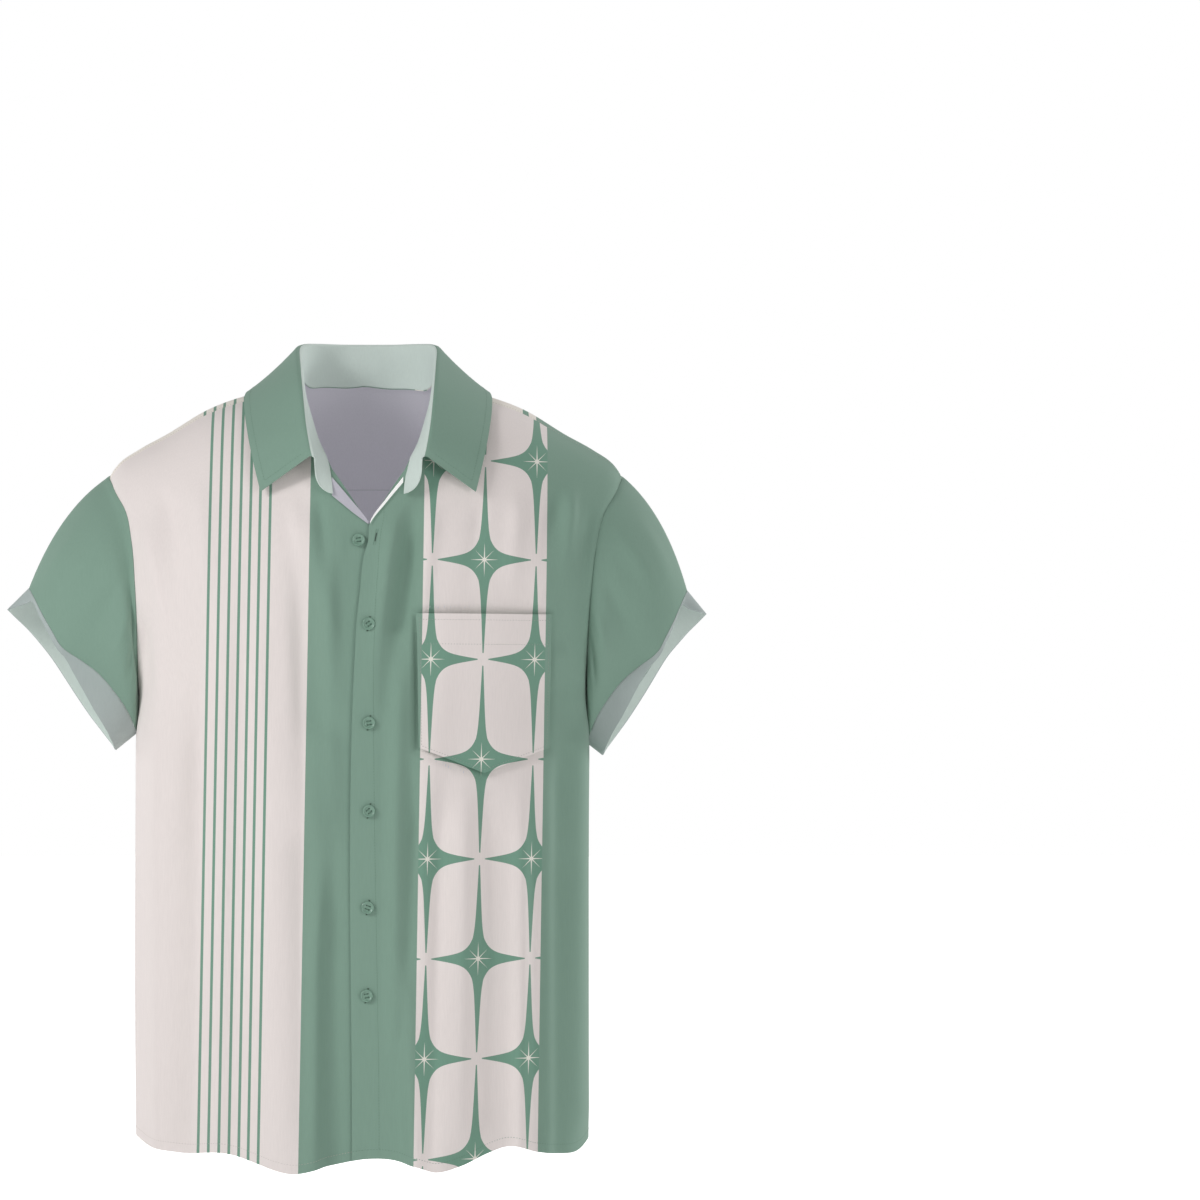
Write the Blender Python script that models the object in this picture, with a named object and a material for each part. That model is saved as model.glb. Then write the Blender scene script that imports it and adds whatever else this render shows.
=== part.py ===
"""Short-sleeved hawaiian shirt, buttoned and filled out as if worn, with nothing inside.

Units are metres, +Z up, the wearer faces -Y and the wearer's left is +X.  The origin is
the middle of the neck at shoulder height, where a wearer would carry the shirt.

The torso is one surface: a rounded cross-section hung from the shoulder ridge.  A point on
it has an angle round the body, theta (0 at the middle, +-90 degrees at the side seams), and
a fall q: 0 on the ridge, 1 where the cloth starts to hang straight, negative on the front
and positive on the back.  Every panel is a patch of that surface between its seams.
"""
import math

import bmesh
import bpy
import numpy as np
from mathutils import Matrix, Vector

MM = 0.001

# Cloth and seams
WALL = 1.6 * MM
CUFF_WALL = 2.0 * MM
SEAM_GAP = 0.3 * MM
LAPPED = WALL + SEAM_GAP
SHARP_ANGLE = math.radians(50)
WELD_DISTANCE = 0.01 * MM

# Torso
SECTION_POWER = 2.2
SHOULDER_HALF = 285 * MM
FALL_AT_NECK = 190 * MM
FALL_NARROWING = 50 * MM
NECK_CENTRE_X = 2 * MM
BODY_CENTRE = (0.0, 0.0, -300 * MM)
NORMAL_STEP = 0.004

# Buttons
BUTTON_RADIUS = 6.3 * MM
BUTTON_THICK = 2.4 * MM
BUTTON_HOLE_PITCH = 1.7 * MM
BUTTON_HOLE_RADIUS = 0.7 * MM
BUTTON_SIDES = 16
BUTTON_STAND_OFF = 0.6 * MM
HOLE_SIDES = 6
HOLE_DEPTH = 3 * BUTTON_THICK
# Half of a button's section: shares of its radius and of its thickness
BUTTON_PROFILE = [(0.0, 0.0), (0.8, 0.0), (1.0, 0.45), (0.9, 1.0), (0.62, 0.62), (0.0, 0.62)]

# Panels in rows and columns of faces
SHOULDER_COLUMNS = 9
NECK_COLUMNS = 7
BACK_NECK_COLUMNS = 8
V_COLUMNS = 3
SIDE_ROWS = 14
FRONT_ARM_ROWS = 10
BACK_ARM_ROWS = 8
YOKE_ROWS = 5
SLEEVE_RINGS = 7
CUFF_RINGS = 2
SIDE_REACH = 2.5
ARMHOLE_CROWDING = 1.45
TURNBACK_ROWS = 5
TURNBACK_COLUMNS = 2
POCKET_COLUMNS = 8
POCKET_ROWS = 8
STAND_STEPS = 3
ROLL_STEPS = 4
LEAF_STEPS = 3


def table(columns, rows, unit=MM):
    """Rows of numbers as named columns, in metres unless another unit is given."""
    values = np.array(rows, dtype=float) * unit
    return {name: values[:, i] for i, name in enumerate(columns.split())}


# Shoulder ridge: height against the distance from the middle
RIDGE = table("out height", [
    (0, 45), (40, 33), (66, 18), (95, 9), (125, 2), (156, -10), (197, -35),
    (225, -50.5), (246, -65), (257, -78), (285, -105)])

# Half width, middle line and depth of the hanging cloth, by height
TORSO = table("height half_width middle front back", [
    (60, 285, 0, 128, 120), (-77, 285, 0, 128, 121), (-110, 279, -0.5, 128, 123),
    (-143, 272, -1.5, 130, 125), (-184, 262, -2.5, 132, 127), (-215, 252, -3, 133, 128),
    (-255, 236, -3.5, 134, 128), (-290, 223.5, -3.5, 134, 127), (-340, 223.5, -4, 134, 125),
    (-400, 225, -4.5, 133, 122), (-550, 225.5, -4.5, 132, 120), (-780, 225.5, -3, 136, 127)])

# Armhole seam, shoulder to underarm: distance from the middle line, by height
ARMHOLE_FRONT = table("height out", [
    (-77, 256.5), (-95, 248.5), (-110, 239.5), (-143, 231), (-184, 226.5), (-215, 224.5),
    (-255, 223.5), (-290, 223.5)])
ARMHOLE_BACK = table("height out", [
    (-77, 256.5), (-95, 247), (-120, 234.5), (-150, 226), (-184, 221), (-215, 219),
    (-255, 219.5), (-290, 223.5)])
UNDERARM_HEIGHT = -290 * MM
SHOULDER_OUT = 256.5 * MM

# Neck seam from the middle of the back round to the front: distance out and place over
# the ridge in degrees of fall, back positive
NECK_SEAM = [
    (0, 31.5), (25, 29.5), (46, 24), (60, 16.5), (65.5, 0), (64, -20), (58.5, -36),
    (49.5, -52.5), (40, -62), (35.5, -66)]
NECK_POINT_SHARE = 4.85 / 9
SHOULDER_SEAM_FALL_OUTER = -10.0

# Yoke seam across the back
YOKE_SEAM_MIDDLE = -86 * MM
YOKE_SEAM_END = -100 * MM

# Fronts: cut edge of the opening by height, wearer's right (under) and left (over)
V_TOP_HEIGHT = -82 * MM
V_BOTTOM_HEIGHT = -126 * MM
EDGE_UNDER = table("height x", [
    (-82, -33.5), (-104, -15), (-126, 2.3), (-150, 9), (-190, 14.5), (-260, 16), (-760, 16)])
EDGE_OVER = table("height x", [
    (-82, 36), (-104, 19), (-126, 3.9), (-145, 1.9), (-157, -1.6), (-199, -6.5),
    (-222, -9.1), (-262, -11.3), (-760, -13.8)])
PLACKET_LIFT = 1.4 * MM
PLACKET_FADE = 40 * MM
PLACKET_MARGIN = 4 * MM

# Hem outline of the fronts and the back
HEM_REACH = 260 * MM
HEM_LEVEL = -740 * MM
FRONT_EDGE_FOOT = -752 * MM
HEM_FRONT = table("x height", [
    (-230, -732), (-215, -741), (-187, -747), (-133, -748), (-105, -757), (-74, -766),
    (-34, -758), (0, -752), (28, -753), (48, -759), (69, -765), (91, -760), (123, -746),
    (139, -741), (170, -747), (190, -749), (212, -746), (224, -734)])
HEM_BACK = table("x height", [
    (-230, -732), (-200, -742), (-160, -745), (-120, -746), (-80, -752), (-40, -749),
    (10, -745), (60, -749), (100, -752), (140, -748), (180, -743), (224, -734)])

# Largest folds: a line from top to end, its half width, and how far the cloth stands out
FOLD_COLUMNS = "x_top z_top x_end z_end width height_top height_end"
FOLD_FADE = 0.12
FOLD_RISE = 0.2
FRONT_FOLDS = table(FOLD_COLUMNS, [
    (-190, -380, -200, -790, 22, 0, 6), (-136, -340, -138, -790, 24, 0, -9),
    (-72, -330, -74, -790, 26, 2, 12), (-10, -420, -4, -790, 34, 0, -7),
    (64, -400, 68, -790, 24, 0, 12), (130, -360, 134, -790, 26, 0, -10),
    (186, -360, 192, -790, 22, 0, 8), (-66, -100, -44, -320, 15, 0, -6),
    (-96, -110, -60, -420, 20, 0, 6), (46, -106, 32, -225, 13, 0, -4),
    (86, -110, 60, -400, 18, 0, 5), (-176, -110, -196, -420, 20, 0, 7),
    (182, -110, 190, -440, 18, 0, 6)])
BACK_FOLDS = table(FOLD_COLUMNS, [
    (-190, -360, -196, -790, 24, 0, 7), (-120, -110, -122, -790, 24, 3, -8),
    (-60, -100, -70, -790, 26, -3, 10), (0, -240, 0, -790, 32, 0, -7),
    (70, -105, 74, -790, 26, 3, 10), (130, -120, 136, -790, 24, -3, -8),
    (190, -360, 194, -790, 22, 0, 8)])

# Sleeve ends, seen from the front: where the cloth meets the turned-up cuff (join) and the
# folded cuff edge (fold), at the top and at the underarm, for each arm
SLEEVE_ENDS = {
    "right": table("x z", [(-336, -188.6), (-231.2, -333), (-357.7, -210.2), (-249.8, -350)]),
    "left": table("x z", [(320.9, -190.6), (223, -343), (340.3, -214.2), (236.7, -355)]),
}
CUFF_HALF_DEPTH = 37 * MM
CUFF_FLARE = 2 * MM
SLEEVE_CROWN = 11 * MM
SLEEVE_FRONT_SWELL = 12 * MM
# How far each end line bows past its straight chord, by the share of the way down
CUFF_BOW = table("down join_front join_back fold_front fold_back", [
    (0, 0, 0, 0, 0), (0.05, 1, 2, -22, -1), (0.15, 4, 5, -24.5, -3.5), (0.27, 6.5, 9, -21, -4.7),
    (0.38, 8, 12, -18.5, -4.5), (0.5, 0.5, 13, -15, -3), (0.6, -5, 12, -12.5, -1.5),
    (0.75, -7.5, 9, -8.5, 0), (0.9, -5.5, 4, -5, 0), (1, 0, 0, 0, 0)], 1.0)
CUFF_LEAST = 4 * MM
CUFF_SEAM = 1.1 * MM
UNDERARM_SPREAD = 0.22
UNDERARM_EASE = 0.5 * MM
# Where a sleeve's top lies behind the shoulder seam, in rows of the yoke
SLEEVE_TOP_ROWS = 0.35
SLEEVE_FOLD_REACH = 0.4
SLEEVE_FOLDS = [
    # share round from the top (front 0..0.5), share down, half width, height in mm
    (0.12, 0.75, 0.05, 4), (0.24, 0.7, 0.05, -5), (0.34, 0.55, 0.04, 5), (0.43, 0.5, 0.035, -4),
    (0.62, 0.6, 0.05, -5), (0.74, 0.7, 0.06, 5), (0.88, 0.75, 0.05, -4)]

# Collar sections from the middle of the back to a front end: the neck seam follows
# NECK_SEAM, the fold is the stand's top edge and the edge is the fall's free edge
COLLAR = table("fold_out fold_y fold_z edge_out edge_y edge_z", [
    (0, 76, 58.5, 0, 88, 15), (27, 73, 58.5, 32, 85, 16), (50, 58, 58.5, 62, 70, 19),
    (64, 33, 56.5, 90, 45, 17), (68.7, 0, 50, 115, 10, 10), (67.5, -50, 31, 122.3, -24, 4),
    (65.3, -88, 7, 122.5, -57, -13), (61.8, -115, -27, 118, -92, -43),
    (58, -127, -50, 112, -110, -71), (55.3, -130, -61.5, 106, -118.5, -95.5)])
STAND_END = (35.0 * MM, -128.0 * MM, -95.0 * MM)
STAND_END_START = 0.86
STAND_FOOT = 1.6 * MM
STAND_ROUNDING = 7 * MM
STAND_BULGE = (0.0, 0.9, 0.75, 0.0)
COLLAR_ROLL = 4.6 * MM
OPEN_ROLL = 3.5 * MM

# Turned-back strips beside the open neck: how far they hang at the collar end
TURNBACK_DROP = {"right": 15 * MM, "left": 8 * MM}
TURNBACK_LEAST = 2 * MM
TURNBACK_REACH = 0.9
TURNBACK_CURVE = 0.8
TURNBACK_EASE = 0.3 * MM

# Breast pocket on the wearer's left
POCKET_TOP = -216 * MM
POCKET_LEFT = 49.5 * MM
POCKET_RIGHT = 182 * MM
POCKET_TAPER = 2.5 * MM
POCKET_CORNER = -348 * MM
POCKET_POINT = -372.8 * MM
POCKET_FULLNESS = 2.4 * MM
POCKET_EASE = 0.45 * MM

# Buttons: height and place across; the top one is undone, on the under front
BUTTONS = table("x z", [
    (-7.4, -143.5), (2.5, -226.2), (2.9, -323.6), (2.9, -410.1), (1.9, -505), (0.9, -591.6)])
# How far each button is turned from having its holes square with the shirt, in degrees
BUTTON_TURNS = (10, 38, 8, 42, -20, 12)

COLOURS = {
    "green": (0.19, 0.31, 0.24, 1.0),
    "cream": (0.79, 0.73, 0.70, 1.0),
    "pale": (0.52, 0.59, 0.56, 1.0),
}
CLOTH_ROUGHNESS = 0.85
BUTTON_ROUGHNESS = 0.4


def smooth(tab, key, value, at):
    """A smooth curve through a table's rows, level past its ends."""
    order = np.argsort(tab[key])
    xs = tab[key][order]
    ys = tab[value][order]
    slopes = np.gradient(ys, xs)
    at = np.clip(np.asarray(at, dtype=float), xs[0], xs[-1])
    i = np.clip(np.searchsorted(xs, at) - 1, 0, len(xs) - 2)
    step = xs[i + 1] - xs[i]
    t = (at - xs[i]) / step
    return ((1 + 2 * t) * (1 - t) ** 2 * ys[i] + t * (1 - t) ** 2 * step * slopes[i]
            + t * t * (3 - 2 * t) * ys[i + 1] + t * t * (t - 1) * step * slopes[i + 1])


def ramp(value, start, end):
    """0 before start, 1 after end, and a soft step between them."""
    t = np.clip((value - start) / (end - start), 0.0, 1.0)
    return t * t * (3 - 2 * t)


def fall_length(lam):
    return FALL_AT_NECK - FALL_NARROWING * np.abs(lam)


def fold_relief(folds, x, z):
    """How far the folds push the cloth out at a place."""
    total = np.zeros_like(x)
    for i in range(len(folds["width"])):
        share = (folds["z_top"][i] - z) / (folds["z_top"][i] - folds["z_end"][i])
        inside = ramp(share, -FOLD_FADE, FOLD_RISE) * ramp(1 + FOLD_FADE - share, 0.0, FOLD_FADE)
        share = np.clip(share, 0.0, 1.0)
        middle = folds["x_top"][i] + (folds["x_end"][i] - folds["x_top"][i]) * share
        height = folds["height_top"][i] + (folds["height_end"][i] - folds["height_top"][i]) * share
        total += inside * height * np.exp(-((x - middle) / folds["width"][i]) ** 2)
    return total


def torso(theta, q):
    """Points of the torso surface."""
    lam = np.sign(np.sin(theta)) * np.abs(np.sin(theta)) ** (2 / SECTION_POWER)
    round_off = np.abs(np.cos(theta)) ** (2 / SECTION_POWER)
    length = fall_length(lam)
    turn = np.minimum(np.abs(q), 1.0) * math.pi / 2
    drop = length * (1 - np.cos(turn)) + np.maximum(np.abs(q) - 1.0, 0.0) * length * math.pi / 2
    z = smooth(RIDGE, "out", "height", np.abs(lam) * SHOULDER_HALF) - drop
    x = smooth(TORSO, "height", "half_width", z) * lam + smooth(TORSO, "height", "middle", z)
    front = -smooth(TORSO, "height", "front", z) - fold_relief(FRONT_FOLDS, x, z) * np.sin(turn)
    back = smooth(TORSO, "height", "back", z) + fold_relief(BACK_FOLDS, x, z) * np.sin(turn)
    y = np.where(q < 0, front, back) * round_off * np.sin(turn)
    return np.stack([x, y, z], axis=-1)


def torso_normal(theta, q):
    """Unit vectors that point out of the torso surface."""
    low = np.clip(theta - NORMAL_STEP, -math.pi / 2, math.pi / 2)
    high = np.clip(theta + NORMAL_STEP, -math.pi / 2, math.pi / 2)
    across = torso(high, q) - torso(low, q)
    down = torso(theta, q + NORMAL_STEP) - torso(theta, q - NORMAL_STEP)
    normal = np.cross(across, down)
    normal /= np.linalg.norm(normal, axis=-1, keepdims=True)
    outward = torso(theta, q) - np.array(BODY_CENTRE)
    return normal * np.sign(np.sum(normal * outward, axis=-1, keepdims=True))


def place(x, z, side):
    """The angle and fall of the cloth at x and z, on the front (-1) or back (+1)."""
    x = np.asarray(x, dtype=float)
    z = np.asarray(z, dtype=float)
    lam = (x - smooth(TORSO, "height", "middle", z)) / smooth(TORSO, "height", "half_width", z)
    lam = np.clip(lam, -1.0, 1.0)
    theta = np.sign(lam) * np.arcsin(np.abs(lam) ** (SECTION_POWER / 2))
    length = fall_length(lam)
    drop = np.maximum(smooth(RIDGE, "out", "height", np.abs(lam) * SHOULDER_HALF) - z, 0.0)
    bent = np.arccos(np.clip(1 - drop / length, 0.0, 1.0)) * 2 / math.pi
    hung = 1 + (drop - length) / (length * math.pi / 2)
    return np.stack([theta, side * np.where(drop < length, bent, hung)], axis=-1)


def neck_place(side):
    """Neck seam of one side from the middle of the back to the front end."""
    out = np.array([row[0] for row in NECK_SEAM]) * MM
    fall = np.array([row[1] for row in NECK_SEAM]) / 90.0
    lam = (side * out + NECK_CENTRE_X) / SHOULDER_HALF
    theta = np.sign(lam) * np.arcsin(np.abs(lam) ** (SECTION_POWER / 2))
    return np.stack([theta, fall], axis=-1)


def along(points, shares):
    """Points at given shares of the way along a run of points."""
    marks = np.linspace(0.0, 1.0, len(points))
    tab = {"mark": marks}
    picked = []
    for i in range(points.shape[1]):
        tab["value"] = points[:, i]
        picked.append(smooth(tab, "mark", "value", shares))
    return np.stack(picked, axis=-1)


def blend(start, end, count):
    """A straight run of places from start to end."""
    t = np.linspace(0.0, 1.0, count + 1)[:, None]
    return start + (end - start) * t


def armhole(side, tab, from_height, to_height, rows, face):
    """Armhole places from one height to another."""
    share = np.linspace(0.0, 1.0, rows + 1) ** ARMHOLE_CROWDING
    heights = from_height + (to_height - from_height) * share
    out = smooth(tab, "height", "out", heights)
    x = side * out + smooth(TORSO, "height", "middle", heights)
    return place(x, heights, face)


def neck_shares():
    """Shares of the neck seam, back middle to front end, at which the cloth has points."""
    back = np.linspace(0.0, NECK_POINT_SHARE, BACK_NECK_COLUMNS // 2 + 1)
    front = np.linspace(NECK_POINT_SHARE, 1.0, NECK_COLUMNS + 1)
    return back, front


def seams(side):
    """Every seam of one side, as runs of places on the torso."""
    neck = neck_place(side)
    back_shares, front_shares = neck_shares()
    neck_back = along(neck, back_shares)
    neck_front = along(neck, front_shares)
    lam = SHOULDER_OUT / SHOULDER_HALF
    tip = np.array([side * math.asin(lam ** (SECTION_POWER / 2)), SHOULDER_SEAM_FALL_OUTER / 90])
    shoulder = blend(neck_back[-1], tip, SHOULDER_COLUMNS)
    tip_height = torso(tip[0], tip[1])[2]
    front_arm = armhole(side, ARMHOLE_FRONT, UNDERARM_HEIGHT, tip_height, FRONT_ARM_ROWS, -1)
    front_arm[-1] = tip
    back_arm = armhole(side, ARMHOLE_BACK, UNDERARM_HEIGHT, YOKE_SEAM_END, BACK_ARM_ROWS, 1)
    yoke_arm = blend(tip, back_arm[-1], YOKE_ROWS)
    return {"neck_back": neck_back, "neck_front": neck_front, "shoulder": shoulder,
            "front_arm": front_arm, "back_arm": back_arm, "yoke_arm": yoke_arm}


def patch(bottom, top, left, right):
    """A patch of places between four runs of places that share their corners.

    The inside is straight from bottom to top, and bends to the left and right runs only
    near them."""
    u = np.linspace(0.0, 1.0, len(bottom))[None, :, None]
    v = np.linspace(0.0, 1.0, len(left))[:, None, None]
    straight = (1 - v) * bottom[None] + v * top[None]
    left_bend = left[:, None] - (1 - v) * left[0] - v * left[-1]
    right_bend = right[:, None] - (1 - v) * right[0] - v * right[-1]
    return straight + (1 - u) ** SIDE_REACH * left_bend + u ** SIDE_REACH * right_bend


def side_rows(side, hem_height, face):
    """Side seam from the hem up to the underarm."""
    heights = np.linspace(hem_height, UNDERARM_HEIGHT, SIDE_ROWS + 1)
    half = smooth(TORSO, "height", "half_width", heights)
    x = side * half + smooth(TORSO, "height", "middle", heights)
    rows = place(x, heights, face)
    rows[:, 0] = side * math.pi / 2
    return rows


def hem_row(tab, x_from, x_to, columns, face):
    """Hem places between two places across, evenly spaced round the body."""
    ends = place(np.array([x_from, x_to]), np.array([HEM_LEVEL, HEM_LEVEL]), face)
    theta = np.linspace(ends[0, 0], ends[1, 0], columns + 1)
    lam = np.sign(theta) * np.abs(np.sin(theta)) ** (2 / SECTION_POWER)
    half = smooth(TORSO, "height", "half_width", HEM_LEVEL)
    x = lam * half + smooth(TORSO, "height", "middle", HEM_LEVEL)
    row = place(x, smooth(tab, "x", "height", x), face)
    row[:, 0] = theta
    return row


def inset(points, edges):
    """Draw the named edges of a grid back by half a seam gap."""
    points = points.copy()
    ends = {"bottom": (0, 1, 0), "top": (-1, -2, 0), "left": (0, 1, 1), "right": (-1, -2, 1)}
    for edge in edges:
        outer, inner, axis = ends[edge]
        border = np.take(points, outer, axis)
        step = np.take(points, inner, axis) - border
        moved = border + step / np.linalg.norm(step, axis=-1, keepdims=True) * SEAM_GAP / 2
        if axis == 0:
            points[outer] = moved
        else:
            points[:, outer] = moved
    return points


def grid_normals(points, closed=False):
    """Normals of a grid of points, by central differences."""
    if closed:
        across = np.roll(points, -1, 1) - np.roll(points, 1, 1)
    else:
        across = np.gradient(points, axis=1)
    upward = np.gradient(points, axis=0)
    normal = np.cross(across, upward)
    return normal / np.linalg.norm(normal, axis=-1, keepdims=True)


def material(name, colour, roughness):
    """A plain material of one colour."""
    made = bpy.data.materials.get(name)
    if made is None:
        made = bpy.data.materials.new(name)
        made.use_nodes = True
        shader = made.node_tree.nodes["Principled BSDF"]
        shader.inputs["Base Color"].default_value = COLOURS[colour]
        shader.inputs["Roughness"].default_value = roughness
        shader.inputs["Metallic"].default_value = 0.0
    return made


def add_wall(collection, name, middle, normal, thickness, colour, closed=False):
    """A closed wall: the grid of middle points moved half the thickness both ways."""
    rows, columns = middle.shape[:2]
    mesh = bpy.data.meshes.new(name)
    shell = bmesh.new()
    layers = []
    for way in (0.5, -0.5):
        spots = middle + normal * (thickness * way)
        layers.append([[shell.verts.new(spots[i, j]) for j in range(columns)] for i in range(rows)])
    outer, inner = layers
    last = columns if closed else columns - 1
    for i in range(rows - 1):
        for j in range(last):
            k = (j + 1) % columns
            shell.faces.new((outer[i][j], outer[i][k], outer[i + 1][k]))
            shell.faces.new((outer[i][j], outer[i + 1][k], outer[i + 1][j]))
            shell.faces.new((inner[i][k], inner[i][j], inner[i + 1][k]))
            shell.faces.new((inner[i + 1][k], inner[i][j], inner[i + 1][j]))
    for j in range(last):
        k = (j + 1) % columns
        shell.faces.new((outer[0][k], outer[0][j], inner[0][j], inner[0][k]))
        shell.faces.new((outer[-1][j], outer[-1][k], inner[-1][k], inner[-1][j]))
    if not closed:
        for i in range(rows - 1):
            shell.faces.new((outer[i][0], outer[i + 1][0], inner[i + 1][0], inner[i][0]))
            shell.faces.new((outer[i + 1][-1], outer[i][-1], inner[i][-1], inner[i + 1][-1]))
    bmesh.ops.recalc_face_normals(shell, faces=shell.faces)
    shell.to_mesh(mesh)
    shell.free()
    return add_object(collection, name, mesh, material(colour + "_cloth", colour, CLOTH_ROUGHNESS))


def add_object(collection, name, mesh, finish):
    mesh.materials.append(finish)
    made = bpy.data.objects.new(name, mesh)
    collection.objects.link(made)
    mesh.shade_smooth()
    mesh.set_sharp_from_angle(angle=SHARP_ANGLE)
    return made


def front_offset(side, x, z):
    """How far a front stands off the torso surface, so that the over front clears the under."""
    edge = smooth(EDGE_OVER, "height", "x", z)
    if side > 0:
        return PLACKET_LIFT * ramp(edge + 2 * PLACKET_FADE - x, 0.0, PLACKET_FADE)
    return -PLACKET_LIFT * ramp(x, edge - PLACKET_FADE, edge - PLACKET_MARGIN)


def front_points(side, places):
    """Middle points and normals of a front at some places."""
    base = torso(places[..., 0], places[..., 1])
    normal = torso_normal(places[..., 0], places[..., 1])
    offset = front_offset(side, base[..., 0], base[..., 2])
    return base + normal * offset[..., None], normal


def make_front(collection, name, side, seam):
    """One front: hem, side seam, armhole, shoulder seam, neckline and front edge."""
    edge = EDGE_OVER if side > 0 else EDGE_UNDER
    x_low = smooth(edge, "height", "x", FRONT_EDGE_FOOT)
    columns = V_COLUMNS + NECK_COLUMNS + SHOULDER_COLUMNS
    hem = hem_row(HEM_FRONT, x_low, side * HEM_REACH, columns, -1)
    hem_height = torso(hem[-1, 0], hem[-1, 1])[2]
    outer = np.concatenate([side_rows(side, hem_height, -1), seam["front_arm"][1:]])
    outer[0] = hem[-1]
    hem_at_edge = torso(hem[0, 0], hem[0, 1])[2]
    heights = np.linspace(hem_at_edge, V_BOTTOM_HEIGHT, len(outer))
    inner = place(smooth(edge, "height", "x", heights), heights, -1)
    inner[0] = hem[0]
    neck_end = seam["neck_front"][-1]
    open_edge = blend(inner[-1], neck_end, V_COLUMNS)
    top = np.concatenate([open_edge, seam["neck_front"][::-1][1:], seam["shoulder"][1:]])
    places = patch(hem, top, inner, outer)
    points, normal = front_points(side, places)
    points = inset(points, ["right", "top"])
    colour = "green" if side > 0 else "cream"
    add_wall(collection, name, points, normal, WALL, colour)


def make_back_and_yoke(collection, right, left):
    """The back below the yoke seam, and the yoke from there over the shoulders."""
    columns = 2 * SHOULDER_COLUMNS + BACK_NECK_COLUMNS
    hem = hem_row(HEM_BACK, -HEM_REACH, HEM_REACH, columns, 1)
    heights = [torso(hem[i, 0], hem[i, 1])[2] for i in (0, -1)]
    sides = []
    for side, seam, height, end in ((-1, right, heights[0], 0), (1, left, heights[1], -1)):
        rows = np.concatenate([side_rows(side, height, 1), seam["back_arm"][1:]])
        rows[0] = hem[end]
        sides.append(rows)
    theta = np.linspace(right["back_arm"][-1, 0], left["back_arm"][-1, 0], columns + 1)
    lam = np.sign(theta) * np.abs(np.sin(theta)) ** (2 / SECTION_POWER)
    level = YOKE_SEAM_MIDDLE + (YOKE_SEAM_END - YOKE_SEAM_MIDDLE) * (lam / lam[-1]) ** 2
    yoke_seam = place(lam * smooth(TORSO, "height", "half_width", level)
                      + smooth(TORSO, "height", "middle", level), level, 1)
    yoke_seam[0] = right["back_arm"][-1]
    yoke_seam[-1] = left["back_arm"][-1]
    places = patch(hem, yoke_seam, sides[0], sides[1])
    points = torso(places[..., 0], places[..., 1])
    normal = torso_normal(places[..., 0], places[..., 1])
    add_wall(collection, "back", inset(points, ["left", "right", "top"]), normal, WALL, "cream")
    front = np.concatenate([right["shoulder"][::-1], right["neck_back"][::-1][1:],
                            left["neck_back"][1:], left["shoulder"][1:]])
    places = patch(front, yoke_seam, right["yoke_arm"], left["yoke_arm"])
    points = torso(places[..., 0], places[..., 1])
    normal = torso_normal(places[..., 0], places[..., 1])
    edges = ["left", "right", "top", "bottom"]
    add_wall(collection, "yoke", inset(points, edges), normal, WALL, "cream")


def end_ring(side, share, bow_front, bow_back, first, half_depth):
    """One ring of a sleeve's end; share 0 is the top, 0.25 the front, 0.5 the underarm."""
    ends = SLEEVE_ENDS["right" if side < 0 else "left"]
    top = np.array([ends["x"][first], ends["z"][first]])
    low = np.array([ends["x"][first + 1], ends["z"][first + 1]])
    chord = low - top
    outward = np.array([chord[1], -chord[0]]) / np.linalg.norm(chord)
    if outward[0] * side < 0:
        outward = -outward
    angle = share * 2 * math.pi
    down = (1 - np.cos(angle)) / 2
    front = smooth(CUFF_BOW, "down", bow_front, down) * MM
    back = smooth(CUFF_BOW, "down", bow_back, down) * MM
    bow = np.where(share <= 0.5, front, back)
    flat = top + chord * down[:, None] + outward * bow[:, None]
    y = -half_depth * np.sin(angle)
    return np.stack([flat[:, 0], y, flat[:, 1]], axis=-1)


def arm_ring(seam):
    """Armhole ring, top round the front to the underarm and up the back, with its normals."""
    front = seam["front_arm"][::-1]
    back = seam["back_arm"]
    yoke = seam["yoke_arm"][::-1]
    ring = np.concatenate([front, back[1:], yoke[1:-1]])
    points = torso(ring[:, 0], ring[:, 1])
    normal = torso_normal(ring[:, 0], ring[:, 1])
    steps = np.linalg.norm(np.roll(points, -1, 0) - points, axis=-1)
    run = np.concatenate([[0.0], np.cumsum(steps)])
    under = run[len(front) - 1]
    tail = YOKE_ROWS * SLEEVE_TOP_ROWS * steps[-1]
    total = run[-1]
    share = np.where(run[:-1] <= under, (run[:-1] + tail) / (under + tail) * 0.5,
                     0.5 + (run[:-1] - under) / (total - tail - under) * 0.5)
    return points, normal, share % 1.0


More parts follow.
